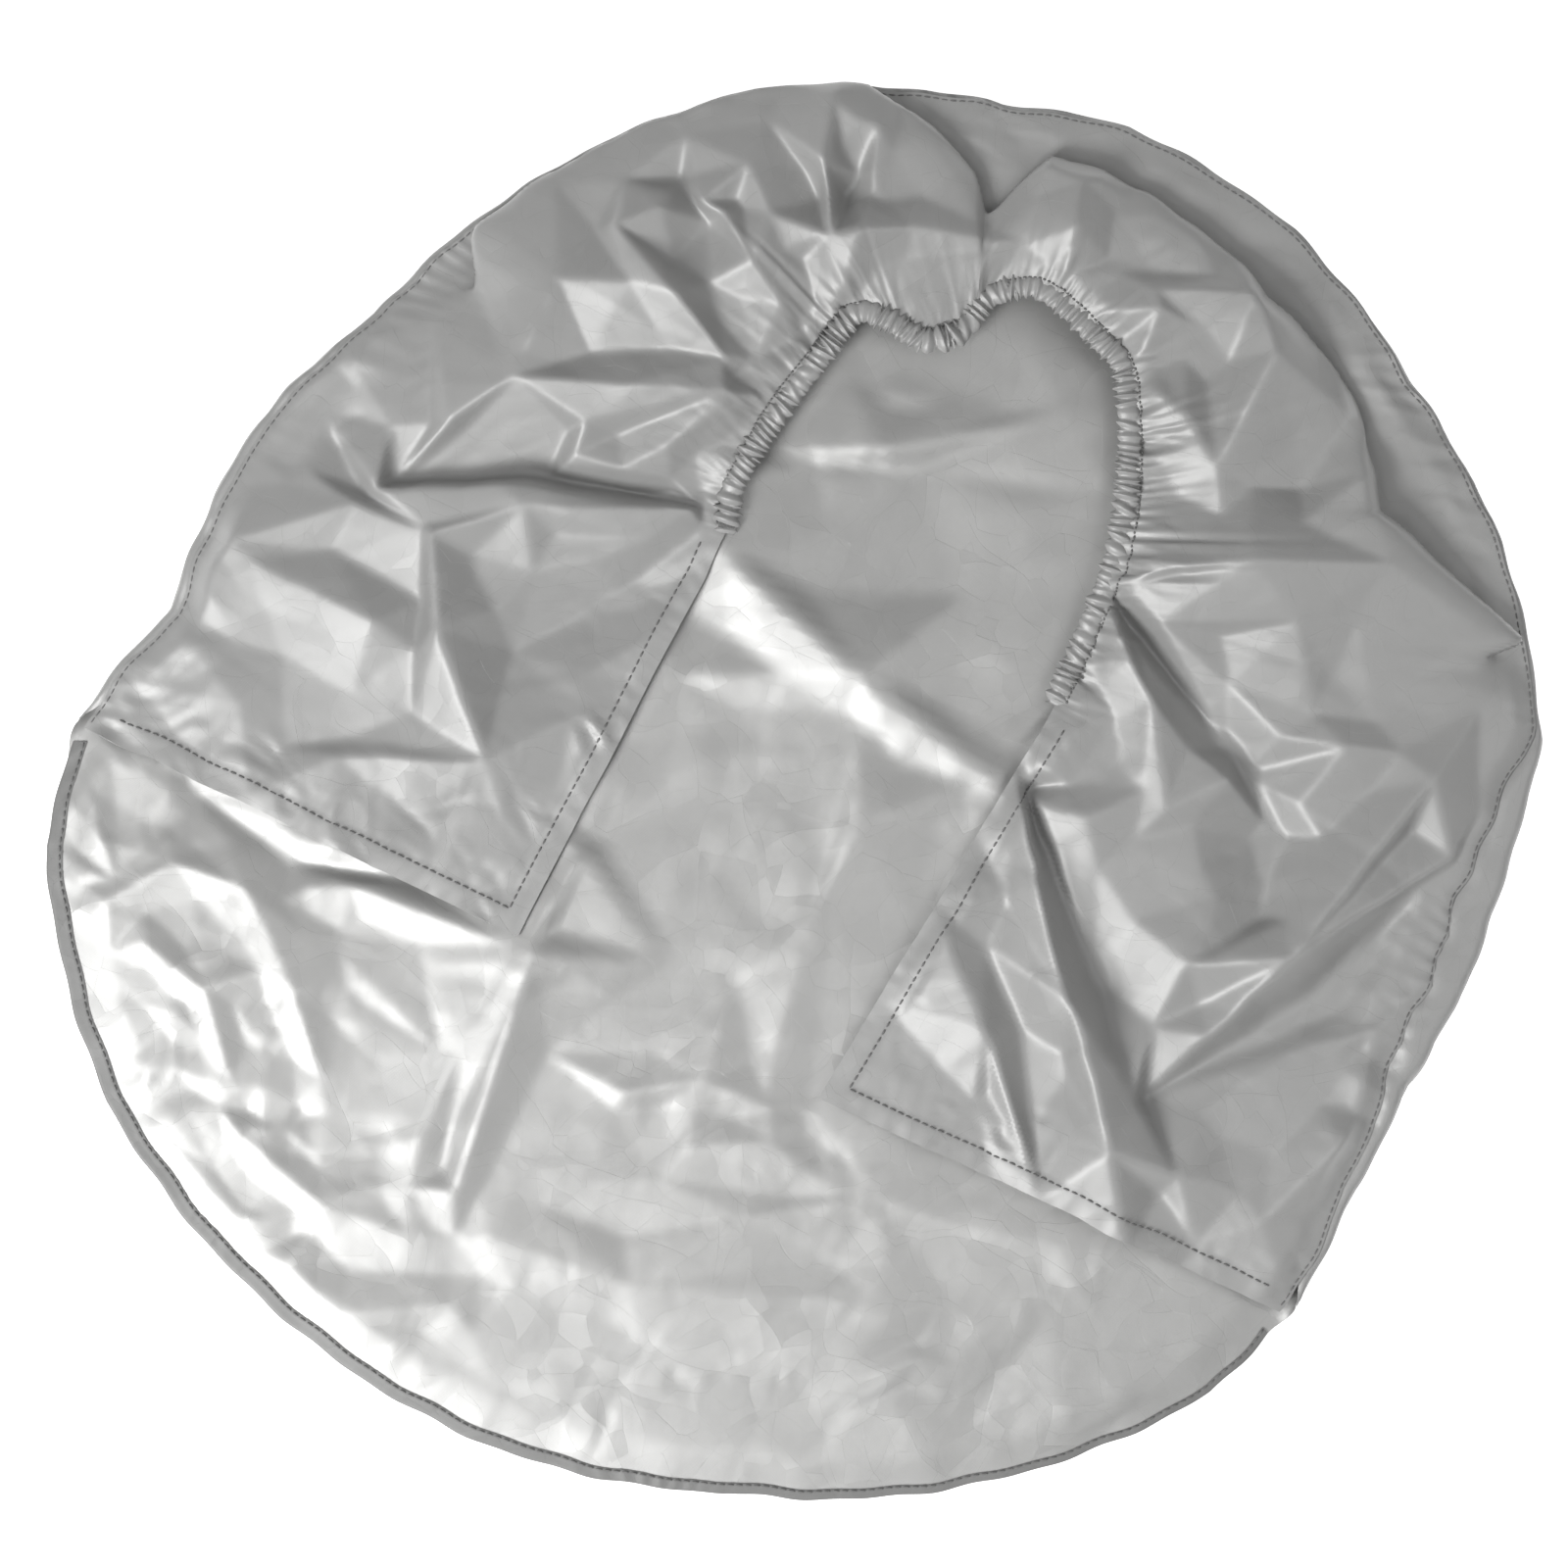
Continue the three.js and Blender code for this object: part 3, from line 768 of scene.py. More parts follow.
def thicken(piece: bpy.types.Object, thickness: float) -> None:
    """Gives a sheet its two sides, with the second material underneath.

    Args:
        piece: The sheet.
        thickness: Distance between its sides, in metres.
    """
    wall = piece.modifiers.new("Thickness", "SOLIDIFY")
    wall.thickness = thickness
    wall.offset = -1.0
    wall.material_offset = 1
    wall.use_quality_normals = False


@dataclass(frozen=True)
class Stitch:
    """One kind of stitch.

    Attributes:
        pitch: Distance from one stitch to the next.
        length: Length of the thread that shows.
        width: Thickness of the thread.
        slant: Turn of each stitch away from its row, in radians.
    """

    pitch: float
    length: float
    width: float
    slant: float = 0.0


HEM_STITCH = Stitch(0.0045, 0.0036, 0.0011)
SEAM_STITCH = Stitch(0.0045, 0.0036, 0.0008)
CASING_STITCH = Stitch(0.0026, 0.0019, 0.0011)
TACK_STITCH = Stitch(0.00075, 0.0034, 0.0008, math.pi / 2)
STITCHES_AT_ONCE = 24


def stitches_object(name: str, trail: Trail, stitch: Stitch) -> bpy.types.Object:
    """Makes a row of separate stitches.

    Args:
        name: Name of the piece.
        trail: Line that the stitches follow.
        stitch: Kind of stitch.

    Returns:
        The new object.
    """
    line = trail.spaced(stitch.pitch)
    middles = 0.5 * (line.points[1:] + line.points[:-1])
    runs = line.points[1:] - line.points[:-1]
    form = bmesh.new()
    few = bmesh.new()
    mesh = bpy.data.meshes.new(name)
    for number, (middle, run, up) in enumerate(zip(middles, runs, line.ups[:-1])):
        forward = np.array(Matrix.Rotation(stitch.slant, 3, tuple(up)) @ Vector(run))
        forward /= np.linalg.norm(forward) + 1e-12
        side = np.cross(up, forward)
        side /= np.linalg.norm(side) + 1e-12
        top = np.cross(forward, side)
        long = forward * stitch.length / stitch.width
        columns = np.stack([long, side, top, middle + top * stitch.width * 0.1], 1)
        place = Matrix([*columns.tolist(), (0.0, 0.0, 0.0, 1.0)])
        bmesh.ops.create_uvsphere(few, u_segments=8, v_segments=5, radius=stitch.width / 2, matrix=place)
        if number % STITCHES_AT_ONCE == STITCHES_AT_ONCE - 1 or number == len(middles) - 1:
            few.to_mesh(mesh)
            few.clear()
            form.from_mesh(mesh)
    for face in form.faces:
        face.smooth = True
    form.to_mesh(mesh)
    form.free()
    few.free()
    return added(name, mesh)


def tube_object(name: str, rings: Array, pattern: Array) -> bpy.types.Object:
    """Makes a closed tube from rings of points.

    Args:
        name: Name of the piece.
        rings: Points, with the rings along the tube first and the points round each ring second.
        pattern: Flat position of each point, for its weave.

    Returns:
        The new object, closed along its side and over both ends.
    """
    closed = np.concatenate([rings, rings[:, :1]], 1)
    piece = sheet_object(name, closed, np.concatenate([pattern, pattern[:, -1:]], 1))
    form = bmesh.new()
    form.from_mesh(piece.data)
    seam = [vertex for vertex in form.verts if vertex.is_boundary]
    bmesh.ops.remove_doubles(form, verts=seam, dist=1e-6)
    ends = [edge for edge in form.edges if edge.is_boundary]
    bmesh.ops.holes_fill(form, edges=ends, sides=0)
    bmesh.ops.recalc_face_normals(form, faces=form.faces[:])
    form.to_mesh(piece.data)
    form.free()
    return piece


# ---------------------------------------------------------------- finishes


class Value:
    """One output socket of a shader, for writing shader maths as expressions."""

    def __init__(self, finish: "Nodes", socket: Any) -> None:
        """Wraps a socket of a finish's node tree."""
        self.finish = finish
        self.socket = socket

    def _math(self, operation: str, a: Any, b: Any) -> "Value":
        """Adds one Math node and returns its value."""
        return self.finish.node("ShaderNodeMath", {"operation": operation}, {0: a, 1: b})[0]

    def __add__(self, other: Any) -> "Value":
        """Sum of two values."""
        return self._math("ADD", self, other)

    def __radd__(self, other: Any) -> "Value":
        """Sum, with the value on the right."""
        return self._math("ADD", other, self)

    def __sub__(self, other: Any) -> "Value":
        """Difference of two values."""
        return self._math("SUBTRACT", self, other)

    def __rsub__(self, other: Any) -> "Value":
        """Difference, with the value on the right."""
        return self._math("SUBTRACT", other, self)

    def __mul__(self, other: Any) -> "Value":
        """Product of two values."""
        return self._math("MULTIPLY", self, other)

    def __rmul__(self, other: Any) -> "Value":
        """Product, with the value on the right."""
        return self._math("MULTIPLY", other, self)

    def vector(self, operation: str, other: Any) -> list["Value"]:
        """Adds one Vector Math node, and returns its vector and its number."""
        return self.finish.node("ShaderNodeVectorMath", {"operation": operation}, {0: self, 1: other})


class Nodes:
    """A material under construction."""

    def __init__(self, name: str) -> None:
        """Starts a new material with a Principled shader.

        Args:
            name: Name of the material.
        """
        self.material = bpy.data.materials.new(name)
        self.material.use_nodes = True
        self.tree = self.material.node_tree
        self.shader = self.tree.nodes["Principled BSDF"]

    def node(self, kind: str, settings: dict[str, Any], inputs: dict[Any, Any]) -> list[Value]:
        """Adds a node.

        Args:
            kind: Node type.
            settings: Properties set before its sockets.
            inputs: Values or links for its sockets, by name or index.

        Returns:
            The node's outputs.
        """
        made = self.tree.nodes.new(kind)
        for key, value in settings.items():
            setattr(made, key, value)
        for key, value in inputs.items():
            self.feed(made.inputs[key], value)
        return [Value(self, output) for output in made.outputs]

    def noise(self, place: Value, scale: float, detail: float, roughness: float = 0.5) -> list[Value]:
        """Adds a noise texture.

        Args:
            place: Where it is read.
            scale: Swells along a metre.
            detail: Number of finer layers.
            roughness: Strength of each finer layer.

        Returns:
            Its value and its colour.
        """
        sockets = {"Vector": place, "Scale": scale, "Detail": detail, "Roughness": roughness}
        return self.node("ShaderNodeTexNoise", {}, sockets)

    def feed(self, socket: Any, value: Any) -> None:
        """Links a value to a socket, or sets the socket to a number or colour.

        Args:
            socket: The socket that is fed.
            value: The value, number or colour.
        """
        if isinstance(value, Value):
            self.tree.links.new(value.socket, socket)
        else:
            socket.default_value = value

    def set(self, **values: Any) -> None:
        """Feeds the Principled shader's sockets, named with underscores."""
        for key, value in values.items():
            self.feed(self.shader.inputs[key.replace("_", " ")], value)


@dataclass(frozen=True)
class Finish:
    """Base of every finish: a grey from dark to light, with its gloss."""

    name: str
    dark: Triple
    light: Triple
    metallic: float
    roughness: float

    def tint(self, nodes: Nodes, share: Value) -> Value:
        """Mixes the dark and light colours by a value from 0 to 1.

        Args:
            nodes: The material under construction.
            share: Share of the light colour.

        Returns:
            The colour.
        """
        return nodes.node(
            "ShaderNodeMix",
            {"data_type": "RGBA"},
            {0: share, 6: (*self.dark, 1), 7: (*self.light, 1)},
        )[2]


@dataclass(frozen=True)
class Cloth(Finish):
    """Woven cloth, satin on its outer side or coated on its inner side."""

    weave_depth: float = 0.00003
    grain_depth: float = 0.00005
    thread_pitch: float = 0.0007
    cloud_scale: float = 9.0
    patch_scale: float = 11.0
    rub_scale: float = 70.0
    grain_scale: float = 700.0
    facet_scale: float = 26.0
    facet_slope: float = 0.11
    drift_scale: float = 14.0
    drift: float = 0.05

    def threads(self, nodes: Nodes, direction: str) -> Value:
        """Waves of the cloth's threads in one direction, on its flat pattern.

        Args:
            nodes: The material under construction.
            direction: Axis of the pattern that the waves follow.

        Returns:
            The height of the waves.
        """
        place = nodes.node("ShaderNodeUVMap", {"uv_map": "Weave"}, {})[0]
        waves_per_scale = 0.314
        sockets = {
            "Vector": place,
            "Scale": waves_per_scale / self.thread_pitch,
            "Distortion": 0.6,
            "Detail Scale": 4.0,
        }
        return nodes.node("ShaderNodeTexWave", {"bands_direction": direction}, sockets)[1]

    def facets(self, nodes: Nodes, place: Value, scale: float) -> Value:
        """Height of small flat facets that each tilt their own way.

        Args:
            nodes: The material's nodes.
            place: Place on the body.
            scale: Facets along a metre.

        Returns:
            The height in metres, for the steepest slopes of about one half.
        """
        drift = nodes.noise(place, self.drift_scale, 1.0)[1].vector("MULTIPLY", (self.drift,) * 3)[0]
        place = place.vector("ADD", drift)[0]
        cells = nodes.node("ShaderNodeTexVoronoi", {}, {"Vector": place, "Scale": scale})
        tilt = cells[1].vector("SUBTRACT", (0.5, 0.5, 0.5))[0]
        return place.vector("SUBTRACT", cells[2])[0].vector("DOT_PRODUCT", tilt)[1]

    def build(self) -> bpy.types.Material:
        """Makes the material.

        Returns:
            The cloth's material, with its weave on the cloth's own flat pattern.
        """
        nodes = Nodes(self.name)
        place = nodes.node("ShaderNodeTexCoord", {}, {})[3]
        clouds = nodes.noise(place, self.cloud_scale, 4.0, 0.6)[0]
        grain = nodes.noise(place, self.grain_scale, 4.0, 0.75)[0]
        rub = nodes.noise(place, self.rub_scale, 5.0, 0.65)[0]
        patchy = nodes.noise(place, self.patch_scale, 2.0)[0]
        threads = self.threads(nodes, "X") * 0.5 + self.threads(nodes, "Y") * 0.5
        coarse = self.facets(nodes, place, self.facet_scale)
        fine = self.facets(nodes, place, self.facet_scale * 2.3)
        folded = (coarse + fine * 0.8) * (patchy * 2.4 - 0.6)
        height = threads * (self.weave_depth / self.grain_depth) + grain + rub * 2.0
        height = height + folded * (self.facet_slope / self.grain_depth)
        sockets = {"Strength": 0.6, "Distance": self.grain_depth, "Height": height}
        nodes.set(
            Base_Color=self.tint(nodes, clouds * 0.45 + grain * 0.3 + rub * 0.25),
            Metallic=self.metallic,
            Roughness=(clouds - 0.5) * 0.1 + (grain - 0.5) * 0.12 + self.roughness,
            Normal=nodes.node("ShaderNodeBump", {}, sockets)[0],
        )
        return nodes.material


@dataclass(frozen=True)
class Yarn(Finish):
    """Twisted thread or woven tape."""

    fibre_scale: float = 2500.0
    fibre_depth: float = 0.00005

    def build(self) -> bpy.types.Material:
        """Makes the material.

        Returns:
            The yarn's material, with fine fibres on it.
        """
        nodes = Nodes(self.name)
        place = nodes.node("ShaderNodeTexCoord", {}, {})[3]
        fibres = nodes.noise(place, self.fibre_scale, 3.0)[0]
        sockets = {"Strength": 0.5, "Distance": self.fibre_depth, "Height": fibres}
        bump = nodes.node("ShaderNodeBump", {}, sockets)[0]
        nodes.set(
            Base_Color=self.tint(nodes, fibres),
            Metallic=self.metallic,
            Roughness=(fibres - 0.5) * 0.2 + self.roughness,
            Normal=bump,
        )
        return nodes.material


# The thread's own grey, darkened further as painted shade of the puckered stitch holes around it.
THREAD_WITH_PAINTED_SHADE = Yarn("Grey thread darkened with painted shade", (0.11, 0.11, 0.11), (0.25, 0.25, 0.245), 0.0, 0.6)
ELASTIC = Yarn("White elastic", (0.55, 0.55, 0.54), (0.78, 0.78, 0.76), 0.0, 0.75)
OUTER_CLOTH = Cloth("Satin grey cloth", (0.375, 0.375, 0.37), (0.46, 0.46, 0.455), 0.24, 0.48)
# The apron hem is the same outer cloth; this darker copy of it is painted shade for the hem's curled-down
# edge.
HEM_CLOTH_WITH_PAINTED_SHADE = Cloth("Grey hem cloth darkened as painted shade", (0.20, 0.20, 0.197), (0.28, 0.28, 0.276), 0.25, 0.50)
INNER_COATING = Cloth("Silver coating", (0.47, 0.47, 0.465), (0.57, 0.57, 0.56), 0.60, 0.47)


# ---------------------------------------------------------------- face panel


@dataclass
class FacePanel:
    """The round panel on the ground, with its rim rolled up where the band is sewn to it.

    Attributes:
        outline: Plan outline of the cover.
        steps: Number of steps across the panel.
        roll: Radius of the rolled rim.
        flat_radius: Radius of the panel as cut.
        ground: Height of the panel's upper side where it lies flat.
        loft: Height that the crumpled cloth lies above that.
        rim_calm: Share of the folds that the free rim's hem holds flat.
        seam_drop: How far the panel's cut edge lies under the band.
        folds: The folds that it is pressed into.
        grid: Its points, once it is built.
        pattern: Flat position of each point.
    """

    outline: Outline
    steps: int = 234
    roll: float = 0.0045
    flat_radius: float = 0.375
    ground: float = 0.0015
    loft: float = 0.0035
    rim_calm: float = 0.75
    seam_drop: float = 0.0016
    folds: Folds = field(
        default_factory=lambda: Folds(
            FACE_CREASES,
            seed=42,
            press=0.52,
            spread=1.4,
            gap=0.042,
            stir=0.0016,
            patches=FACE_PATCHES,
            bend=0.14,
        )
    )
    grid: Array = field(default_factory=lambda: np.zeros((0, 0, 3)))
    pattern: Array = field(default_factory=lambda: np.zeros((0, 0, 2)))

    def sewn(self, bearing: Array) -> Array:
        """1 where the rim is sewn to the band and 0 along the free rim."""
        turned = np.mod(bearing + 90, 360) - 90
        return ease(turned, -24.0, -18.0) * (1 - ease(turned, 198.0, 204.0))

    def seam_inset(self, bearing: Array) -> Array:
        """Distance of the seam in from the outline.

        Args:
            bearing: Bearing of each point, in degrees.

        Returns:
            The distance at each point.
        """
        turned = np.mod(bearing + 90, 360) - 90
        turns = (-30, -16, -5, 2, 10, 19, 27, 31, 40, 130, 160, 172, 200)
        plain = np.interp(turned, turns, (4, 4, 7, 15, 19, 19, 11, 3, 2, 2, 3, 5, 4)) / 1000
        waver = 0.0007 * np.sin(np.radians(turned * 31)) + 0.0005 * np.sin(np.radians(turned * 73 + 40))
        return np.maximum(plain + waver * (0.3 + plain / 0.012), 0.0015)

    def height(self, x: Array, y: Array) -> Array:
        """Height of the panel's upper side at plan points inside its rim.

        Args:
            x: First measure of each point.
            y: Second measure of each point.

        Returns:
            The heights.
        """
        rise = self.folds.rise(x, y)
        for crumple in FACE_CRUMPLES:
            rise = rise + crumple.rise(x, y)
        return self.ground + np.maximum(rise + self.loft, 0)

    def build(self) -> None:
        """Lays the panel, rolls its rim and presses its creases."""
        side = np.linspace(-1, 1, self.steps + 1)
        free = np.linspace(-1, -0.35, 96)
        covered = np.linspace(-0.35, 0.76, 93)
        rolled_up = np.linspace(0.76, 1, 19)
        a, b = np.meshgrid(side, np.concatenate([free, covered[1:], rolled_up[1:]]), indexing="ij")
        disc_x = a * np.sqrt(1 - b * b / 2)
        disc_y = b * np.sqrt(1 - a * a / 2)
        share = np.hypot(disc_x, disc_y)
        turn = np.arctan2(disc_y, disc_x)
        bearing = np.degrees(turn)
        sewn = self.sewn(bearing)
        inset = self.seam_inset(bearing) + 0.0015
        edge = self.outline.radius(bearing)
        reach = edge + sewn * (math.pi * self.roll - 2 * self.roll + inset)
        run = share * reach
        start = edge - self.roll
        around = np.clip((run - start) / self.roll, 0, math.pi)
        past = np.maximum(run - start - math.pi * self.roll, 0)
        rolled = np.minimum(run, start) + self.roll * np.sin(around) - past
        lift = self.roll * (1 - np.cos(around))
        radius = rolled * sewn + run * (1 - sewn)
        x, y = radius * np.cos(turn), radius * np.sin(turn)
        level = self.height(x, y) - self.ground
        level *= 1 - self.rim_calm * ease(run, 0.93 * edge, edge)
        level *= 1 - sewn * ease(share, 0.66, 0.78)
        pinch = SEAM_PUCKER.rise(np.radians(bearing) * edge, reach - run)
        pinch += RIM_CRUMPLE.rise(x, y) * ease(share, 0.90, 0.95)
        pinch -= self.seam_drop * (1 - ease(reach - run, 0.001, 0.005))
        self.grid = np.stack([x, y, self.ground + level + lift * sewn + pinch * sewn], -1)
        self.pattern = np.stack([disc_x, disc_y], -1) * self.flat_radius

    def rim(self, bearing: Array, inset: Array | float) -> Array:
        """Points on the panel's free rim, from their bearing and their distance in from the edge.

        Args:
            bearing: Bearing of each point, in degrees.
            inset: Distance in from the edge.

        Returns:
            The points.
        """
        radius = self.outline.radius(bearing) - inset
        turn = np.radians(bearing)
        x, y = radius * np.cos(turn), radius * np.sin(turn)
        edge = self.outline.radius(bearing)
        level = (self.height(x, y) - self.ground) * (1 - self.rim_calm * ease(radius, 0.93 * edge, edge))
        return np.stack([x, y, self.ground + level], -1)

    def piece(self, finishes: Finishes) -> bpy.types.Object:
        """Makes the panel and its apron as the one sheet that they are cut from.

        Args:
            finishes: The materials by slot.

        Returns:
            The panel.
        """
        panel = sheet_object("face_and_apron_cloth", self.grid, self.pattern)
        dress(panel, finishes, "inner_coating", "outer_cloth")
        thicken(panel, CLOTH_THICKNESS)
        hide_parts("face_panel", "apron_panel")
        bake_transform(panel)
        return panel


# ---------------------------------------------------------------- band


@dataclass
class Band:
    """The strip of cloth round the cover: sewn to the rim, gathered at the mouth, with a flap at each end.

    Attributes:
        face: The panel that it is sewn to.
        length: Length of the strip along the rim.
        width: Width of the strip.
        flap_length: Free length of each gathered edge below the elastic.
        steps: Number of steps along and across the strip.
        first_bearing: Bearing of the strip's left end on the rim.
        last_bearing: Bearing of the strip's right end on the rim.
        parting: Bearing where the two halves meet, in the fold between them.
        grid: Its points, once it is built.
        pattern: Flat position of each point.
        lip_share: Share of each line across the strip that lies under the pleat's lip.
    """

    face: FacePanel
    length: float = 1.49
    width: float = 0.26
    flap_length: float = 0.235
    steps: tuple[int, int] = (708, 122)
    first_bearing: float = 200.7
    last_bearing: float = -21.4
    parting: float = 100.5
    grid: Array = field(default_factory=lambda: np.zeros((0, 0, 3)))
    pattern: Array = field(default_factory=lambda: np.zeros((0, 0, 2)))
    lip_share: Array = field(default_factory=lambda: np.zeros(0))

    def free_edge(self, along: Array) -> Array:
        """Gathered edge of the strip, with the free edges of its two flaps.

        Args:
            along: Share of the strip's length, from its left end.

        Returns:
            The edge's point at each share.
        """
        mouth = smooth_line(MOUTH_POINTS, 400)
        flap = self.flap_length / self.length
        across = np.clip((along - flap) / (1 - 2 * flap), 0, 1) * (len(mouth) - 1)
        gathered = np.stack([np.interp(across, np.arange(len(mouth)), mouth[:, k]) for k in range(3)], -1)
        left = np.clip(1 - along / flap, 0, 1)[:, None]
        right = np.clip(1 - (1 - along) / flap, 0, 1)[:, None]
        gathered = gathered * (1 - left) + np.array(LEFT_FREE_CORNER) * left
        return gathered * (1 - right) + np.array(RIGHT_FREE_CORNER) * right

    def lip(self, bearing: Array) -> Array:
        """How far the pleat's lip lies in from the outline."""
        turns = (30, 36.5, 38, 41, 44.5, 48, 60, 71, 82, 95, 99, 100.5, 102, 106, 111, 116, 150)
        depths = (0, 1, 7, 27, 44, 59, 34, 38, 32, 27, 54, 60, 43, 22, 4, 3, 6)
        return np.interp(bearing, turns, depths) / 1000

    def tuck(self, bearing: Array) -> Array:
        """How deep the pleat runs back in under its lip."""
        return np.interp(bearing, (30, 45, 60, 100, 140, 160), (10, 48, 58, 58, 55, 10)) / 1000

    def pleated(self, bearing: Array) -> Array:
        """1 where the strip is folded into the pleat, and 0 where it lies open."""
        return ease(bearing, 32.5, 38.0) * (1 - ease(bearing, 146, 158))

    def lay(self) -> Array:
        """Lays the strip from the rim to its free edge, smooth.

        Returns:
            The grid of points.
        """
        nu, nv = self.steps
        along = np.linspace(0, 1, nu + 1)
        across = np.linspace(0, 1, nv + 1)
        bearing = self.first_bearing + (self.last_bearing - self.first_bearing) * along
        edge = self.free_edge(along)
        rim = self.face.outline.point(bearing)
        span = np.linalg.norm(edge[:, :2] - rim, axis=-1)
        pleated = self.pleated(bearing)
        lip, tuck = self.lip(bearing), self.tuck(bearing)
        crest = 0.005 + 0.013 * np.sin(np.pi * along) ** 1.5
        inset = self.face.seam_inset(bearing)
        sewn_height = self.face.ground + 2 * self.face.roll
        foot = 0 * span + sewn_height
        plain_in = np.stack([inset, inset + 0.06 * span, 0.34 * span, 0.6 * span, 0.8 * span, span], -1)
        plain_up = np.stack(
            [foot, foot + 0.32 * crest, foot + 0.85 * crest, foot + crest, foot + 0.8 * crest, edge[:, 2]], -1
        )
        pleat_in = np.stack([inset, lip + tuck, lip, lip + 0.014, 0.45 * lip + 0.55 * span, span], -1)
        pleat_up = np.stack([foot, foot, foot + 0.006, foot + 0.013, foot + 0.015, edge[:, 2]], -1)
        knots_in = plain_in * (1 - pleated[:, None]) + pleat_in * pleated[:, None]
        knots_up = plain_up * (1 - pleated[:, None]) + pleat_up * pleated[:, None]
        parts = np.hypot(np.diff(knots_in, axis=1), np.diff(knots_up, axis=1))
        self.lip_share = parts[:, :2].sum(1) / parts.sum(1)
        grid = np.zeros((nu + 1, nv + 1, 3))
        for i in range(nu + 1):
            line = smooth_line(np.stack([knots_in[i], knots_up[i]], -1), nv + 1)
            toward = (edge[i, :2] - rim[i]) / span[i]
            grid[i, :, :2] = rim[i] + toward * line[:, :1]
            grid[i, :, 2] = line[:, 1]
        self.pattern = np.stack(np.meshgrid(along * self.length, across * self.width, indexing="ij"), -1)
        return grid

    def crease(self, grid: Array) -> Array:
        """Presses the creases and crumples into the laid strip.

        Args:
            grid: Points of the laid strip.

        Returns:
            The pressed points.
        """
        x, y = grid[..., 0], grid[..., 1]
        across = np.linspace(0, 1, grid.shape[1])[None, :]
        bearing = np.linspace(self.first_bearing, self.last_bearing, grid.shape[0])[:, None]
        shown = 1 - self.pleated(bearing) * (1 - ease(across - self.lip_share[:, None], -0.02, 0.04))
        inside = ease(across, 0.010, 0.06) * (1 - 0.75 * ease(across, 0.93, 1.0))
        creases = LEFT_CREASES + RIGHT_CREASES
        folds = Folds(
            creases, seed=41, press=1.65, spread=1.4, gap=0.032, stir=0.0046, patches=BAND_PATCHES, bend=0.12
        )
        rise = folds.rise(x, y)
        for crumple in BAND_CRUMPLES:
            rise += crumple.rise(self.pattern[..., 0], self.pattern[..., 1] * 0.4)
        for crumple in PLAN_CRUMPLES:
            rise += crumple.rise(x, y)
        beside = np.maximum(rise, -0.0010)
        rise = beside + (rise - beside) * ease(across, 0.07, 0.17)
        grid[..., 2] += calm(rise * shown, 1) * inside
        tread = TREAD_CRUMPLE.rise(self.pattern[..., 0], self.pattern[..., 1])
        tread += TREAD_STREAKS.rise(self.pattern[..., 0] * 0.35, self.pattern[..., 1])
        grid[..., 2] += tread * (1 - shown) * inside
        grid[..., 2] += RIM_CRUMPLE.rise(x, y) * (1 - ease(across, 0.04, 0.16))
        over = np.maximum(grid[..., 2] - PEAK_HEIGHT, 0)
        grid[..., 2] -= over - PEAK_ROOM * np.tanh(over / PEAK_ROOM)
        return grid

    def gather(self, grid: Array) -> Array:
        """Adds the fine gathers that run out from the elastic.

        Args:
            grid: Points of the strip.

        Returns:
            The gathered points.
        """
        nu = grid.shape[0] - 1
        along = self.pattern[..., 0]
        across = self.width - self.pattern[..., 1]
        past_elastic = np.minimum(along, self.length - along) - self.flap_length
        held = ease(past_elastic, -0.02, 0.05)
        rng = np.random.default_rng(21)
        rise = np.zeros(grid.shape[:2])
        for pitch, reach, height in ((0.0075, 0.007, 0.0013), (0.015, 0.013, 0.0012)):
            paces = rng.uniform(0.3, 1.9, (nu + 14) // 7)
            steps = np.interp(np.arange(nu + 1), np.arange(0, nu + 8, 7), paces)
            phase = np.cumsum(steps)[:, None] * (self.length / nu) / pitch
            wander = 0.8 * np.sin(across / pitch * 0.55 + along / pitch * 0.37)
            wave = 0.8 - 1.6 * np.abs(np.sin(np.pi * (phase + wander)))
            strength = 0.5 + 0.5 * np.sin(along / pitch * 0.73 + 1.3 + across / reach)
            rise += height * wave * strength * np.exp(-across / reach) * ease(across, 0.0, 0.006)
        for crumple, reach in GATHER_CRUMPLES:
            rise += crumple.rise(along, across * 0.42) * np.exp(-across / reach) * ease(across, 0.0, 0.006)
        return grid + grid_normals(grid) * (rise * held)[..., None]

    def drape(self, grid: Array) -> Array:
        """Keeps the strip clear of the panel, and puckers its hems and its seam.

        Args:
            grid: Points of the strip.

        Returns:
            The draped points.
        """
        along, across = self.pattern[..., 0], self.pattern[..., 1]
        pucker = SEAM_PUCKER.rise(along, across)
        pucker += HEM_PUCKER.rise(across, along) + HEM_PUCKER.rise(across, self.length - along)
        from_end = np.minimum(along, self.length - along)
        free = from_end < self.flap_length
        pucker += HEM_PUCKER.rise(along, self.width - across) * free
        edge = np.minimum(from_end, np.where(free, self.width - across, self.width))
        pucker += EDGE_CRUMPLE.rise(along, across) * np.exp(-np.abs(edge - 0.016) / 0.020)
        pucker += HEM_STEP * (1 - ease(edge, 0.0095, 0.0125))
        grid[..., 2] += pucker
        tight = ease(from_end - self.flap_length, -0.02, 0.01)
        loose = ease(across, 0.005, 0.03) * (1 - tight)
        x, y = grid[..., 0].copy(), grid[..., 1].copy()
        grid[..., 0] += FLAP_SWAY[0].rise(x, y) * loose
        grid[..., 1] += FLAP_SWAY[1].rise(x, y) * loose
        room = self.face.height(grid[..., 0], grid[..., 1]) + 0.0028
        inner = ease(across, 0.02, 0.05)
        short = np.maximum(room - grid[..., 2], 0) * inner
        grid[..., 2] += calm(short, 2)
        return grid

    def build(self) -> None:
        """Lays, creases, gathers and drapes the strip."""
        self.grid = self.drape(self.gather(self.crease(self.lay())))

    def surface(self) -> Surface:
        """The finished strip, for the pieces sewn to it."""
        return Surface(self.grid, grid_normals(self.grid))

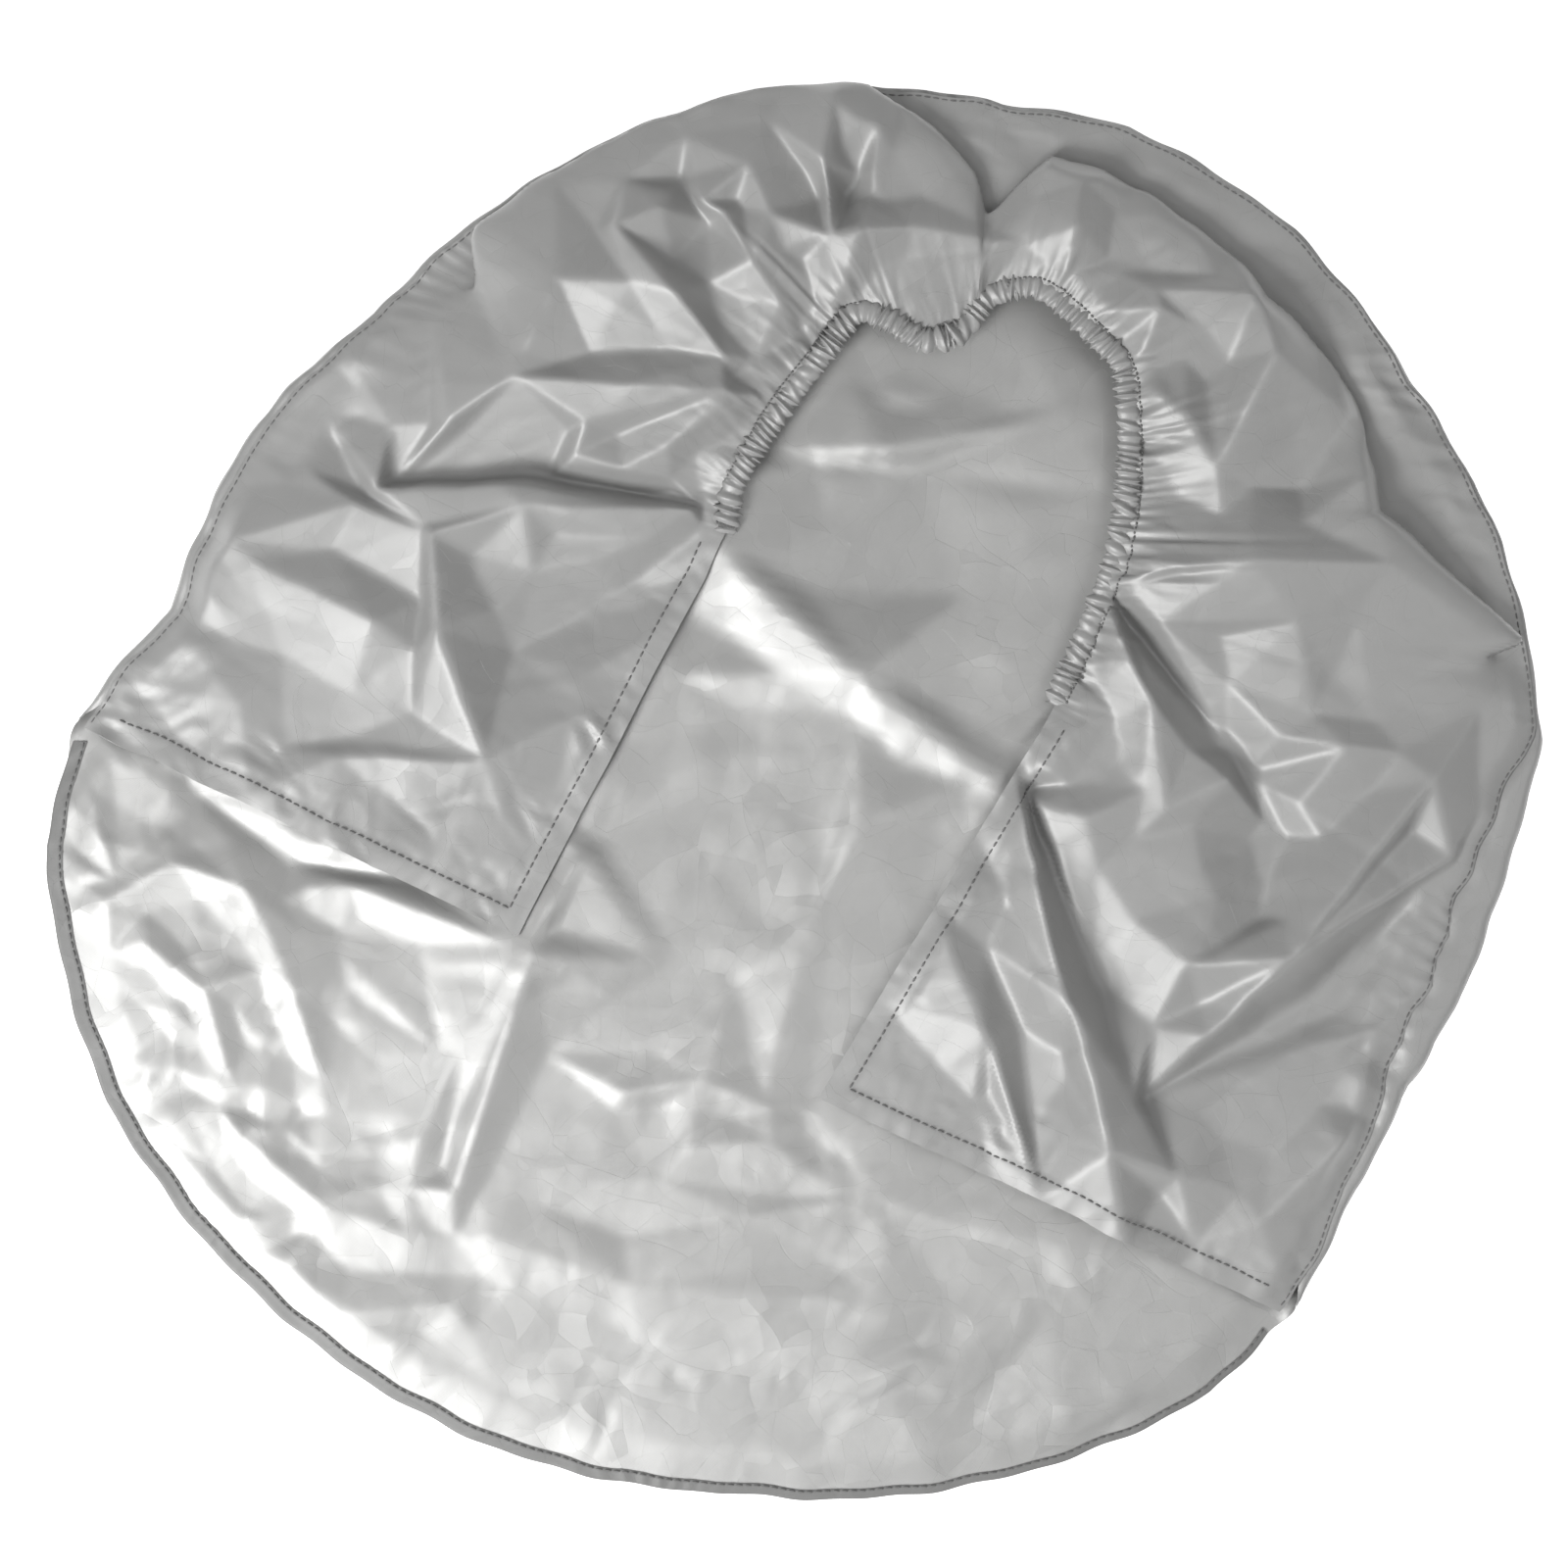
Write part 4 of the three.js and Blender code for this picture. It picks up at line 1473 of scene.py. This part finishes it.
    def pieces(self, finishes: Finishes) -> Objects:
        """Makes the two halves of the strip, which share their edge at the crown.

        Args:
            finishes: The materials by slot.

        Returns:
            The left and right halves.
        """
        share = (self.first_bearing - self.parting) / (self.first_bearing - self.last_bearing)
        middle = round((self.grid.shape[0] - 1) * share)
        made = []
        for side, part in ((Side.LEFT, slice(0, middle + 1)), (Side.RIGHT, slice(middle, None))):
            piece = sheet_object(f"band_{side.value}_cloth", self.grid[part], self.pattern[part])
            dress(piece, finishes, "outer_cloth", "inner_coating")
            thicken(piece, CLOTH_THICKNESS)
            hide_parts(f"band_{side.value}_half", f"{side.value}_flap_panel")
            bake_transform(piece)
            made.append(piece)
        return made


# ---------------------------------------------------------------- sewn pieces


@dataclass
class Flap:
    """Hems and stitches of one flap, on the underside of the strip's end.

    Attributes:
        side: Side of the cover that it lies on.
        band: The strip that it is an end of.
        hem: Width of both hems.
        inset: Distance of the stitches in from the hem's free edge.
        hem_gap: Space between the strip and its hems.
        first_stitch: Share of the strip's width where the stitches of the end hem begin.
        last_stitch: Distance along the free edge where the stitches of the inner hem end.
    """

    side: Side
    band: Band
    hem: float = 0.013
    inset: float = 0.002
    hem_gap: float = 0.0002
    first_stitch: float = 0.05
    last_stitch: float = 0.226

    def along(self, distance: Array) -> Array:
        """Share of the strip's length at a distance from the flap's end."""
        share = distance / self.band.length
        return share if self.side is Side.LEFT else 1 - share

    def strip(
        self, node: str, a: Array, b: Array, flat_length: float, finishes: Finishes
    ) -> bpy.types.Object:
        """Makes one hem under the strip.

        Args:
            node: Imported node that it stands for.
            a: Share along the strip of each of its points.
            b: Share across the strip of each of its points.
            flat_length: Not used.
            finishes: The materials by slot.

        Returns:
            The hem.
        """
        grid = self.band.surface().at(a, b, -CLOTH_THICKNESS - self.hem_gap)
        pattern = np.stack([a * self.band.length, b * self.band.width], -1)
        hem = sheet_object(f"{node}_cloth", grid, pattern)
        dress(hem, finishes, "inner_coating", "outer_cloth")
        thicken(hem, CLOTH_THICKNESS)
        self.place(hem, node)
        return hem

    def row(self, name: str, a: Array, b: Array, finishes: Finishes) -> bpy.types.Object:
        """Makes one row of stitches on the strip.

        Args:
            name: Name of the hem that it holds.
            a: Share along the strip of each of its points.
            b: Share across the strip of each of its points.
            finishes: The materials by slot.

        Returns:
            The row.
        """
        trail = self.band.surface().trail(a, b, self.hem_gap)
        row = stitches_object(f"{self.side.value}_{name}_stitches", trail, HEM_STITCH)
        dress(row, finishes, "thread")
        self.place(row, f"{self.side.value}_{name}_stitching")
        return row

    def build(self, finishes: Finishes) -> Objects:
        """Makes the two hems and their stitches.

        Args:
            finishes: The materials by slot.

        Returns:
            The pieces.
        """
        band = self.band
        across = np.linspace(0.012, band.width, 124) / band.width
        turned_in = np.linspace(0, self.hem, 7)
        reach = np.linspace(0.002, band.flap_length - 0.008, 112)
        a, b = np.meshgrid(self.along(turned_in), across, indexing="ij")
        end = self.strip(f"{self.side.value}_end_hem", a, b, band.width, finishes)
        a, b = np.meshgrid(self.along(reach), 1 - turned_in / band.width, indexing="ij")
        inner = self.strip(f"{self.side.value}_inner_hem", a, b, band.flap_length, finishes)
        deep = self.hem - self.inset
        edge = 1 - deep / band.width
        down = np.linspace(self.first_stitch, edge, 150)
        up = np.linspace(deep, self.last_stitch, 150)
        return [
            end,
            inner,
            self.row("end", self.along(np.full(150, deep)), down, finishes),
            self.row("inner", self.along(up), np.full(150, edge), finishes),
        ]

    def place(self, piece: bpy.types.Object, node: str) -> None:
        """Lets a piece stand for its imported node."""
        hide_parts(node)
        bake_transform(piece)


@dataclass
class Casing:
    """The gathered casing along the mouth, with its elastic, stitches and bar tacks.

    Attributes:
        band: The strip that it is the gathered edge of.
        half_width: Half of the casing's width.
        half_height: Half of the casing's height.
        rib_pitch: Typical distance between two ribs.
        rings_per_rib: Number of rings along one rib.
        sides: Number of points round the casing.
        raised: Height of the casing's middle above the mouth's edge.
        tape_half: Half of the elastic's width and thickness.
        row_inset: Distance of the stitches in from the mouth's edge.
        tack_half: Half of a bar tack's length.
        tack_rise: Height of a bar tack over the casing's middle.
    """

    band: Band
    half_width: float = 0.0068
    half_height: float = 0.0034
    rib_pitch: float = 0.0046
    rings_per_rib: int = 9
    sides: int = 20
    raised: float = 0.0008
    tape_half: Pair = (0.0034, 0.0006)
    row_inset: float = 0.0062
    tack_half: float = 0.0042
    tack_rise: float = 0.0030

    def path(self, count: int) -> Array:
        """Middle of the casing, smooth, from its left end to its right end.

        Args:
            count: Number of its points.

        Returns:
            The points.
        """
        flap = self.band.flap_length / self.band.length
        share = np.linspace(flap, 1 - flap, count)
        line = self.band.free_edge(share)
        for _ in range(count // 40):
            line[1:-1] = 0.5 * line[1:-1] + 0.25 * (line[2:] + line[:-2])
        return line

    def frames(self, line: Array) -> tuple[Array, Array]:
        """Sideways and upward directions along a line.

        Args:
            line: Points of the line.

        Returns:
            The sideways and the upward directions.
        """
        run = np.gradient(line, axis=0)
        side = np.cross(run, np.array(UP))
        side /= np.linalg.norm(side, axis=1, keepdims=True)
        up = np.cross(side, run)
        return side, up / np.linalg.norm(up, axis=1, keepdims=True)

    def ribbed(self) -> tuple[Array, Array]:
        """Rings of the casing, with its irregular ribs.

        Returns:
            The rings, and where each of their points lies on the flat pattern.
        """
        length = float(np.linalg.norm(np.diff(self.path(800), axis=0), axis=1).sum())
        count = round(length / self.rib_pitch) * self.rings_per_rib
        line = self.path(count)
        side, up = self.frames(line)
        rng = np.random.default_rng(8)
        steps = rng.uniform(0.5, 1.7, count // self.rings_per_rib + 2).repeat(self.rings_per_rib)[:count]
        phase = np.cumsum(1 / (steps * self.rings_per_rib))
        ribs = np.floor(phase).astype(int)
        rib_size = rng.uniform(0.4, 1.9, ribs.max() + 3)
        lean = rng.uniform(-0.9, 0.9, ribs.max() + 3)
        turn = np.linspace(0, 2 * math.pi, self.sides, endpoint=False)
        here = phase[:, None] + (lean[ribs][:, None] * 0.5 + 0.15) * np.cos(turn)[None]
        bump = np.abs(np.sin(np.pi * here)) ** 0.6
        size = rib_size[ribs][:, None]
        ends = np.minimum(np.arange(count), np.arange(count)[::-1]) / (1.5 * self.rings_per_rib)
        taper = (0.35 + 0.65 * np.clip(ends, 0, 1))[:, None]
        wide = self.half_width * (0.80 + 0.38 * size * (bump - 0.5)) * (0.7 + 0.3 * taper)
        tall = self.half_height * (0.78 + 0.62 * size * (bump - 0.5)) * taper
        run = np.gradient(line, axis=0)
        run /= np.linalg.norm(run, axis=1, keepdims=True)
        slide = 0.0005 * np.sin(2 * np.pi * here)
        rings = line[:, None] + side[:, None] * (wide * np.cos(turn))[..., None]
        rings += up[:, None] * (tall * np.sin(turn) + self.raised)[..., None]
        rings += run[:, None] * slide[..., None]
        pattern = np.stack(np.broadcast_arrays(phase[:, None] * self.rib_pitch * 2.2, turn[None] * 0.004), -1)
        return rings, pattern

    def tape(self, finishes: Finishes) -> bpy.types.Object:
        """Makes the elastic inside the casing.

        Args:
            finishes: The materials by slot.

        Returns:
            The elastic.
        """
        line = self.path(240)[3:-3]
        side, up = self.frames(line)
        corners = np.array([(-1, -1), (1, -1), (1, 1), (-1, 1)]) * self.tape_half
        sideways = side[:, None] * corners[None, :, :1]
        rings = line[:, None] + sideways + up[:, None] * (corners[None, :, 1:] + self.raised)
        elastic = tube_object("elastic_tape", rings, rings[..., :2])
        dress(elastic, finishes, "elastic")
        return elastic

    def row(self, finishes: Finishes) -> bpy.types.Object:
        """Makes the row of stitches that closes the casing.

        Args:
            finishes: The materials by slot.

        Returns:
            The stitches.
        """
        flap = self.band.flap_length / self.band.length
        share = np.linspace(flap + 0.004, 1 - flap - 0.004, 700)
        depth = np.full(700, 1 - self.row_inset / self.band.width)
        trail = self.band.surface().trail(share, depth, 0.0003)
        row = stitches_object("casing_stitches", trail, CASING_STITCH)
        dress(row, finishes, "thread")
        return row

    def tack(self, side: Side, finishes: Finishes) -> bpy.types.Object:
        """Makes the bar tack over one end of the elastic.

        Args:
            side: Side of the cover that it lies on.
            finishes: The materials by slot.

        Returns:
            The tack.
        """
        ends = self.path(240)
        before, at, after = (1, 2, 3) if side is Side.LEFT else (-4, -3, -2)
        across = np.cross(ends[after] - ends[before], np.array(UP))
        across /= np.linalg.norm(across)
        offsets = np.linspace(-self.tack_half, self.tack_half, 12)[:, None]
        arch = self.tack_rise * (1 - (offsets / 0.007) ** 2)
        points = ends[at] + across * offsets + np.array(UP) * arch
        trail = Trail(points, np.tile(UP, (12, 1)))
        tack = stitches_object(f"{side.value}_tack_stitches", trail, TACK_STITCH)
        dress(tack, finishes, "thread")
        return tack

    def build(self, finishes: Finishes) -> Objects:
        """Makes the casing, the elastic in it, its stitches and its two bar tacks.

        Args:
            finishes: The materials by slot.

        Returns:
            The pieces.
        """
        casing = tube_object("gathered_casing", *self.ribbed())
        dress(casing, finishes, "outer_cloth")
        nodes = {
            "elastic_casing": casing,
            "elastic_band": self.tape(finishes),
            "casing_stitching": self.row(finishes),
            "left_bar_tack": self.tack(Side.LEFT, finishes),
            "right_bar_tack": self.tack(Side.RIGHT, finishes),
        }
        for node, piece in nodes.items():
            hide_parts(node)
            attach(piece, "root")
        return list(nodes.values())


@dataclass
class Seam:
    """The seam that joins the strip to the panel, with its allowance turned in.

    Attributes:
        band: The strip.
        allowance: Width of the cloth turned in past the seam, in metres.
        start: Distance in from the seam where it starts.
        drop: How far below the rolled rim it starts.
        slope: Fall of the allowance per metre of its width.
        wave: Height of its waves at its raw edge.
        row_inset: Distance of the stitches from the seam.
        row_rise: Height of the stitches over the strip.
    """

    band: Band
    allowance: float = 0.010
    start: float = 0.0012
    drop: float = 0.0016
    slope: float = 0.25
    wave: float = 0.0005
    row_inset: float = 0.0018
    row_rise: float = 0.0001

    def strip(self, finishes: Finishes) -> bpy.types.Object:
        """Makes the allowance, under the strip.

        Args:
            finishes: The materials by slot.

        Returns:
            The allowance.
        """
        face = self.band.face
        bearing = np.linspace(self.band.first_bearing, self.band.last_bearing, 500)
        depth = np.linspace(self.start, self.allowance, 5)
        grid = np.stack([face.outline.point(bearing, face.seam_inset(bearing) + d) for d in depth], 1)
        level = face.ground + 2 * face.roll - self.drop - self.slope * depth
        wave = self.wave * np.sin(bearing * 1.9)[:, None] * depth[None] / self.allowance
        grid = np.concatenate([grid, (level[None] + wave)[..., None]], -1)
        along = (bearing[0] - bearing) / (bearing[0] - bearing[-1]) * self.band.length
        pattern = np.stack(np.meshgrid(along, depth, indexing="ij"), -1)
        strip = sheet_object("seam_allowance_cloth", grid, pattern)
        dress(strip, finishes, "inner_coating", "outer_cloth")
        thicken(strip, CLOTH_THICKNESS)
        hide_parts("seam_allowance")
        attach(strip, "root")
        return strip

    def build(self, finishes: Finishes) -> Objects:
        """Makes the allowance and the row of stitches.

        Args:
            finishes: The materials by slot.

        Returns:
            The pieces.
        """
        strip = self.strip(finishes)
        share = np.linspace(0.002, 0.998, 1200)
        depth = np.full(1200, self.row_inset / self.band.width)
        trail = self.band.surface().trail(share, depth, self.row_rise)
        row = stitches_object("seam_stitches", trail, SEAM_STITCH)
        dress(row, finishes, "thread")
        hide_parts("seam_stitching")
        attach(row, "root")
        return [strip, row]


@dataclass
class ApronHem:
    """The hem along the panel's free rim, folded over onto its inner side.

    Attributes:
        face: The panel.
        first: Bearing where the hem starts, in degrees.
        last: Bearing where it ends.
        width: Width of the hem on the upper side, in metres.
        inset: Distance of the stitches from its free edge.
        thickness: Thickness of the cloth.
        floor: Least height over the floor.
        row_rise: Height of the stitches over the rim.
    """

    face: FacePanel
    first: float = 202.0
    last: float = 336.5
    width: float = 0.010
    inset: float = 0.002
    thickness: float = 0.0003
    floor: float = 0.0003
    row_rise: float = 0.0011

    def shown(self, bearing: Array) -> Array:
        """Share of the hem's width that lies on the upper side, where the rim curls under least."""
        return np.interp(bearing, (202, 215, 245, 270, 300, 325, 337), (0.7, 0.85, 0.8, 0.7, 0.5, 0.4, 0.4))

    def fold(self, bearing: Array) -> Array:
        """Grid of the hem, from its free edge on the upper side round the rim to the underside.

        Args:
            bearing: Bearing of each row of points, in degrees.

        Returns:
            The grid.
        """
        section = (
            (0.0100, 0.0004), (0.0088, 0.0008), (0.0062, 0.0008), (0.0038, 0.0008), (0.0016, 0.0008),
            (0.0004, 0.0007), (-0.0003, 0.0004), (-0.0005, 0.0000), (-0.0003, -0.0004), (0.0006, -0.0007),
            (0.0026, -0.0008),
        )
        shown = self.shown(bearing)
        rows = []
        for inset, lift in section:
            level = self.face.rim(bearing, shown * max(inset, 0.0))[:, 2] + lift
            if lift > 0:
                away = np.full(bearing.shape, 0.006 - inset)
                level = level + 0.4 * HEM_PUCKER.rise(np.radians(bearing) * 0.37, away)
            plan = self.face.rim(bearing, shown * inset)[:, :2]
            rows.append(np.concatenate([plan, level[:, None]], 1))
        grid = np.stack(rows, 1)
        grid[..., 2] = np.maximum(grid[..., 2], self.floor)
        return grid

    def build(self, finishes: Finishes) -> Objects:
        """Makes the folded hem and its stitches.

        Args:
            finishes: The materials by slot.

        Returns:
            The pieces.
        """
        bearing = np.linspace(self.first, self.last, 520)
        grid = self.fold(bearing)
        along = np.radians(bearing - bearing[0]) * 0.375
        across = np.linspace(0, 0.02, grid.shape[1])
        hem = sheet_object("apron_hem_cloth", grid, np.stack(np.meshgrid(along, across, indexing="ij"), -1))
        dress(hem, finishes, "outer_cloth", "inner_coating")
        # Painted shade: the hem's upper side takes the darker copy of the outer cloth, standing in for the
        # shade of its curl.
        hem.data.materials[0] = finishes["painted_shade_hem"]
        thicken(hem, self.thickness)
        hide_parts("apron_hem")
        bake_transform(hem)
        points = self.face.rim(bearing, self.shown(bearing) * (self.width - self.inset))
        points[:, 2] += self.row_rise
        trail = Trail(points, np.tile(UP, (len(points), 1)))
        row = stitches_object("apron_hem_stitches", trail, HEM_STITCH)
        dress(row, finishes, "thread")
        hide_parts("apron_hem_stitching")
        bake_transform(row)
        return [hem, row]


# ---------------------------------------------------------------- stage


@dataclass(frozen=True)
class Lamp:
    """A soft square lamp that faces the origin.

    Attributes:
        name: Name of the lamp.
        place: Position, in metres.
        size: Side of the square, in metres.
        power: Power, in watts.
    """

    name: str
    place: Triple
    size: float
    power: float

    def build(self) -> None:
        """Adds the lamp."""
        data = bpy.data.lights.new(self.name, "AREA")
        data.size = self.size
        data.energy = self.power
        lamp = added(self.name, data)
        lamp.location = self.place
        lamp.rotation_euler = Vector(self.place).to_track_quat("Z", "Y").to_euler()


@dataclass(frozen=True)
class Stage:
    """Floor, lights and camera.

    Attributes:
        camera_height: Height of the camera over the floor, in metres.
        frame_width: Width of the view on the floor, in metres.
        roll_degrees: Turn of the camera about its line of sight.
        view_middle: Middle of the view on the floor, in metres.
        sensor: Width of the camera's sensor, in millimetres.
        floor_reach: Half the side of the floor, in metres.
        floor_tone: Lightness of the floor.
        floor_glow: Strength of the floor's own light.
        sky: Strength of the light from all round.
        lamps: The lamps.
    """

    camera_height: float = 2.4
    frame_width: float = 0.8
    roll_degrees: float = 26.0
    view_middle: Pair = (-0.0116, -0.0012)
    sensor: float = 36.0
    floor_reach: float = 4.0
    floor_tone: float = 0.95
    floor_glow: float = 0.8
    sky: float = 0.29
    lamps: tuple[Lamp, ...] = (
        Lamp("Key", (-0.62, -1.40, 1.55), size=0.8, power=36.0),
        Lamp("Overhead", (-0.42, -0.60, 2.10), size=0.50, power=3.4),
        Lamp("Fill", (1.2, 0.4, 1.9), size=1.2, power=5.0),
    )

    def camera(self) -> None:
        """Looks straight down with a long lens."""
        lens = bpy.data.cameras.new("Camera")
        lens.sensor_width = self.sensor
        lens.lens = self.sensor * self.camera_height / self.frame_width
        camera = added("Camera", lens)
        camera.location = (*self.view_middle, self.camera_height)
        camera.rotation_euler = (0, 0, math.radians(self.roll_degrees))
        bpy.context.scene.camera = camera

    def floor(self) -> None:
        """Lays a plain pale floor."""
        form = bmesh.new()
        bmesh.ops.create_grid(form, x_segments=1, y_segments=1, size=self.floor_reach)
        mesh = bpy.data.meshes.new("Floor")
        form.to_mesh(mesh)
        form.free()
        nodes = Nodes("Pale floor")
        tone = self.floor_tone
        nodes.set(Base_Color=(tone, tone, tone, 1), Roughness=0.9)
        nodes.set(Emission_Color=(1, 1, 1, 1), Emission_Strength=self.floor_glow)
        mesh.materials.append(nodes.material)
        added("Floor", mesh)

    def build(self) -> None:
        """Sets up the whole stage."""
        self.camera()
        self.floor()
        for lamp in self.lamps:
            lamp.build()
        world = bpy.data.worlds.new("Studio")
        world.use_nodes = True
        world.node_tree.nodes["Background"].inputs["Color"].default_value = (1, 1, 1, 1)
        world.node_tree.nodes["Background"].inputs["Strength"].default_value = self.sky
        bpy.context.scene.world = world
        bpy.context.scene.view_settings.view_transform = "Standard"


# ---------------------------------------------------------------- assembly


def main() -> None:
    """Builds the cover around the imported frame."""
    logging.basicConfig(level=logging.INFO, format="%(message)s")
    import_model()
    Stage().build()
    finishes = {
        "outer_cloth": OUTER_CLOTH.build(),
        # Darker copy of the outer cloth, painted shade for the apron hem.
        "painted_shade_hem": HEM_CLOTH_WITH_PAINTED_SHADE.build(),
        "inner_coating": INNER_COATING.build(),
        # Thread colour: its own grey plus painted shade of the stitch holes.
        "thread": THREAD_WITH_PAINTED_SHADE.build(),
        "elastic": ELASTIC.build(),
    }
    face = FacePanel(Outline())
    face.build()
    made = [face.piece(finishes)]
    band = Band(face)
    band.build()
    made += band.pieces(finishes)
    for part in (Seam(band), Casing(band), ApronHem(face), Flap(Side.LEFT, band), Flap(Side.RIGHT, band)):
        made += part.build(finishes)
    for piece in made:
        LOG.info("%s: %d faces", piece.name, len(piece.data.polygons))


if __name__ == "__main__":
    main()
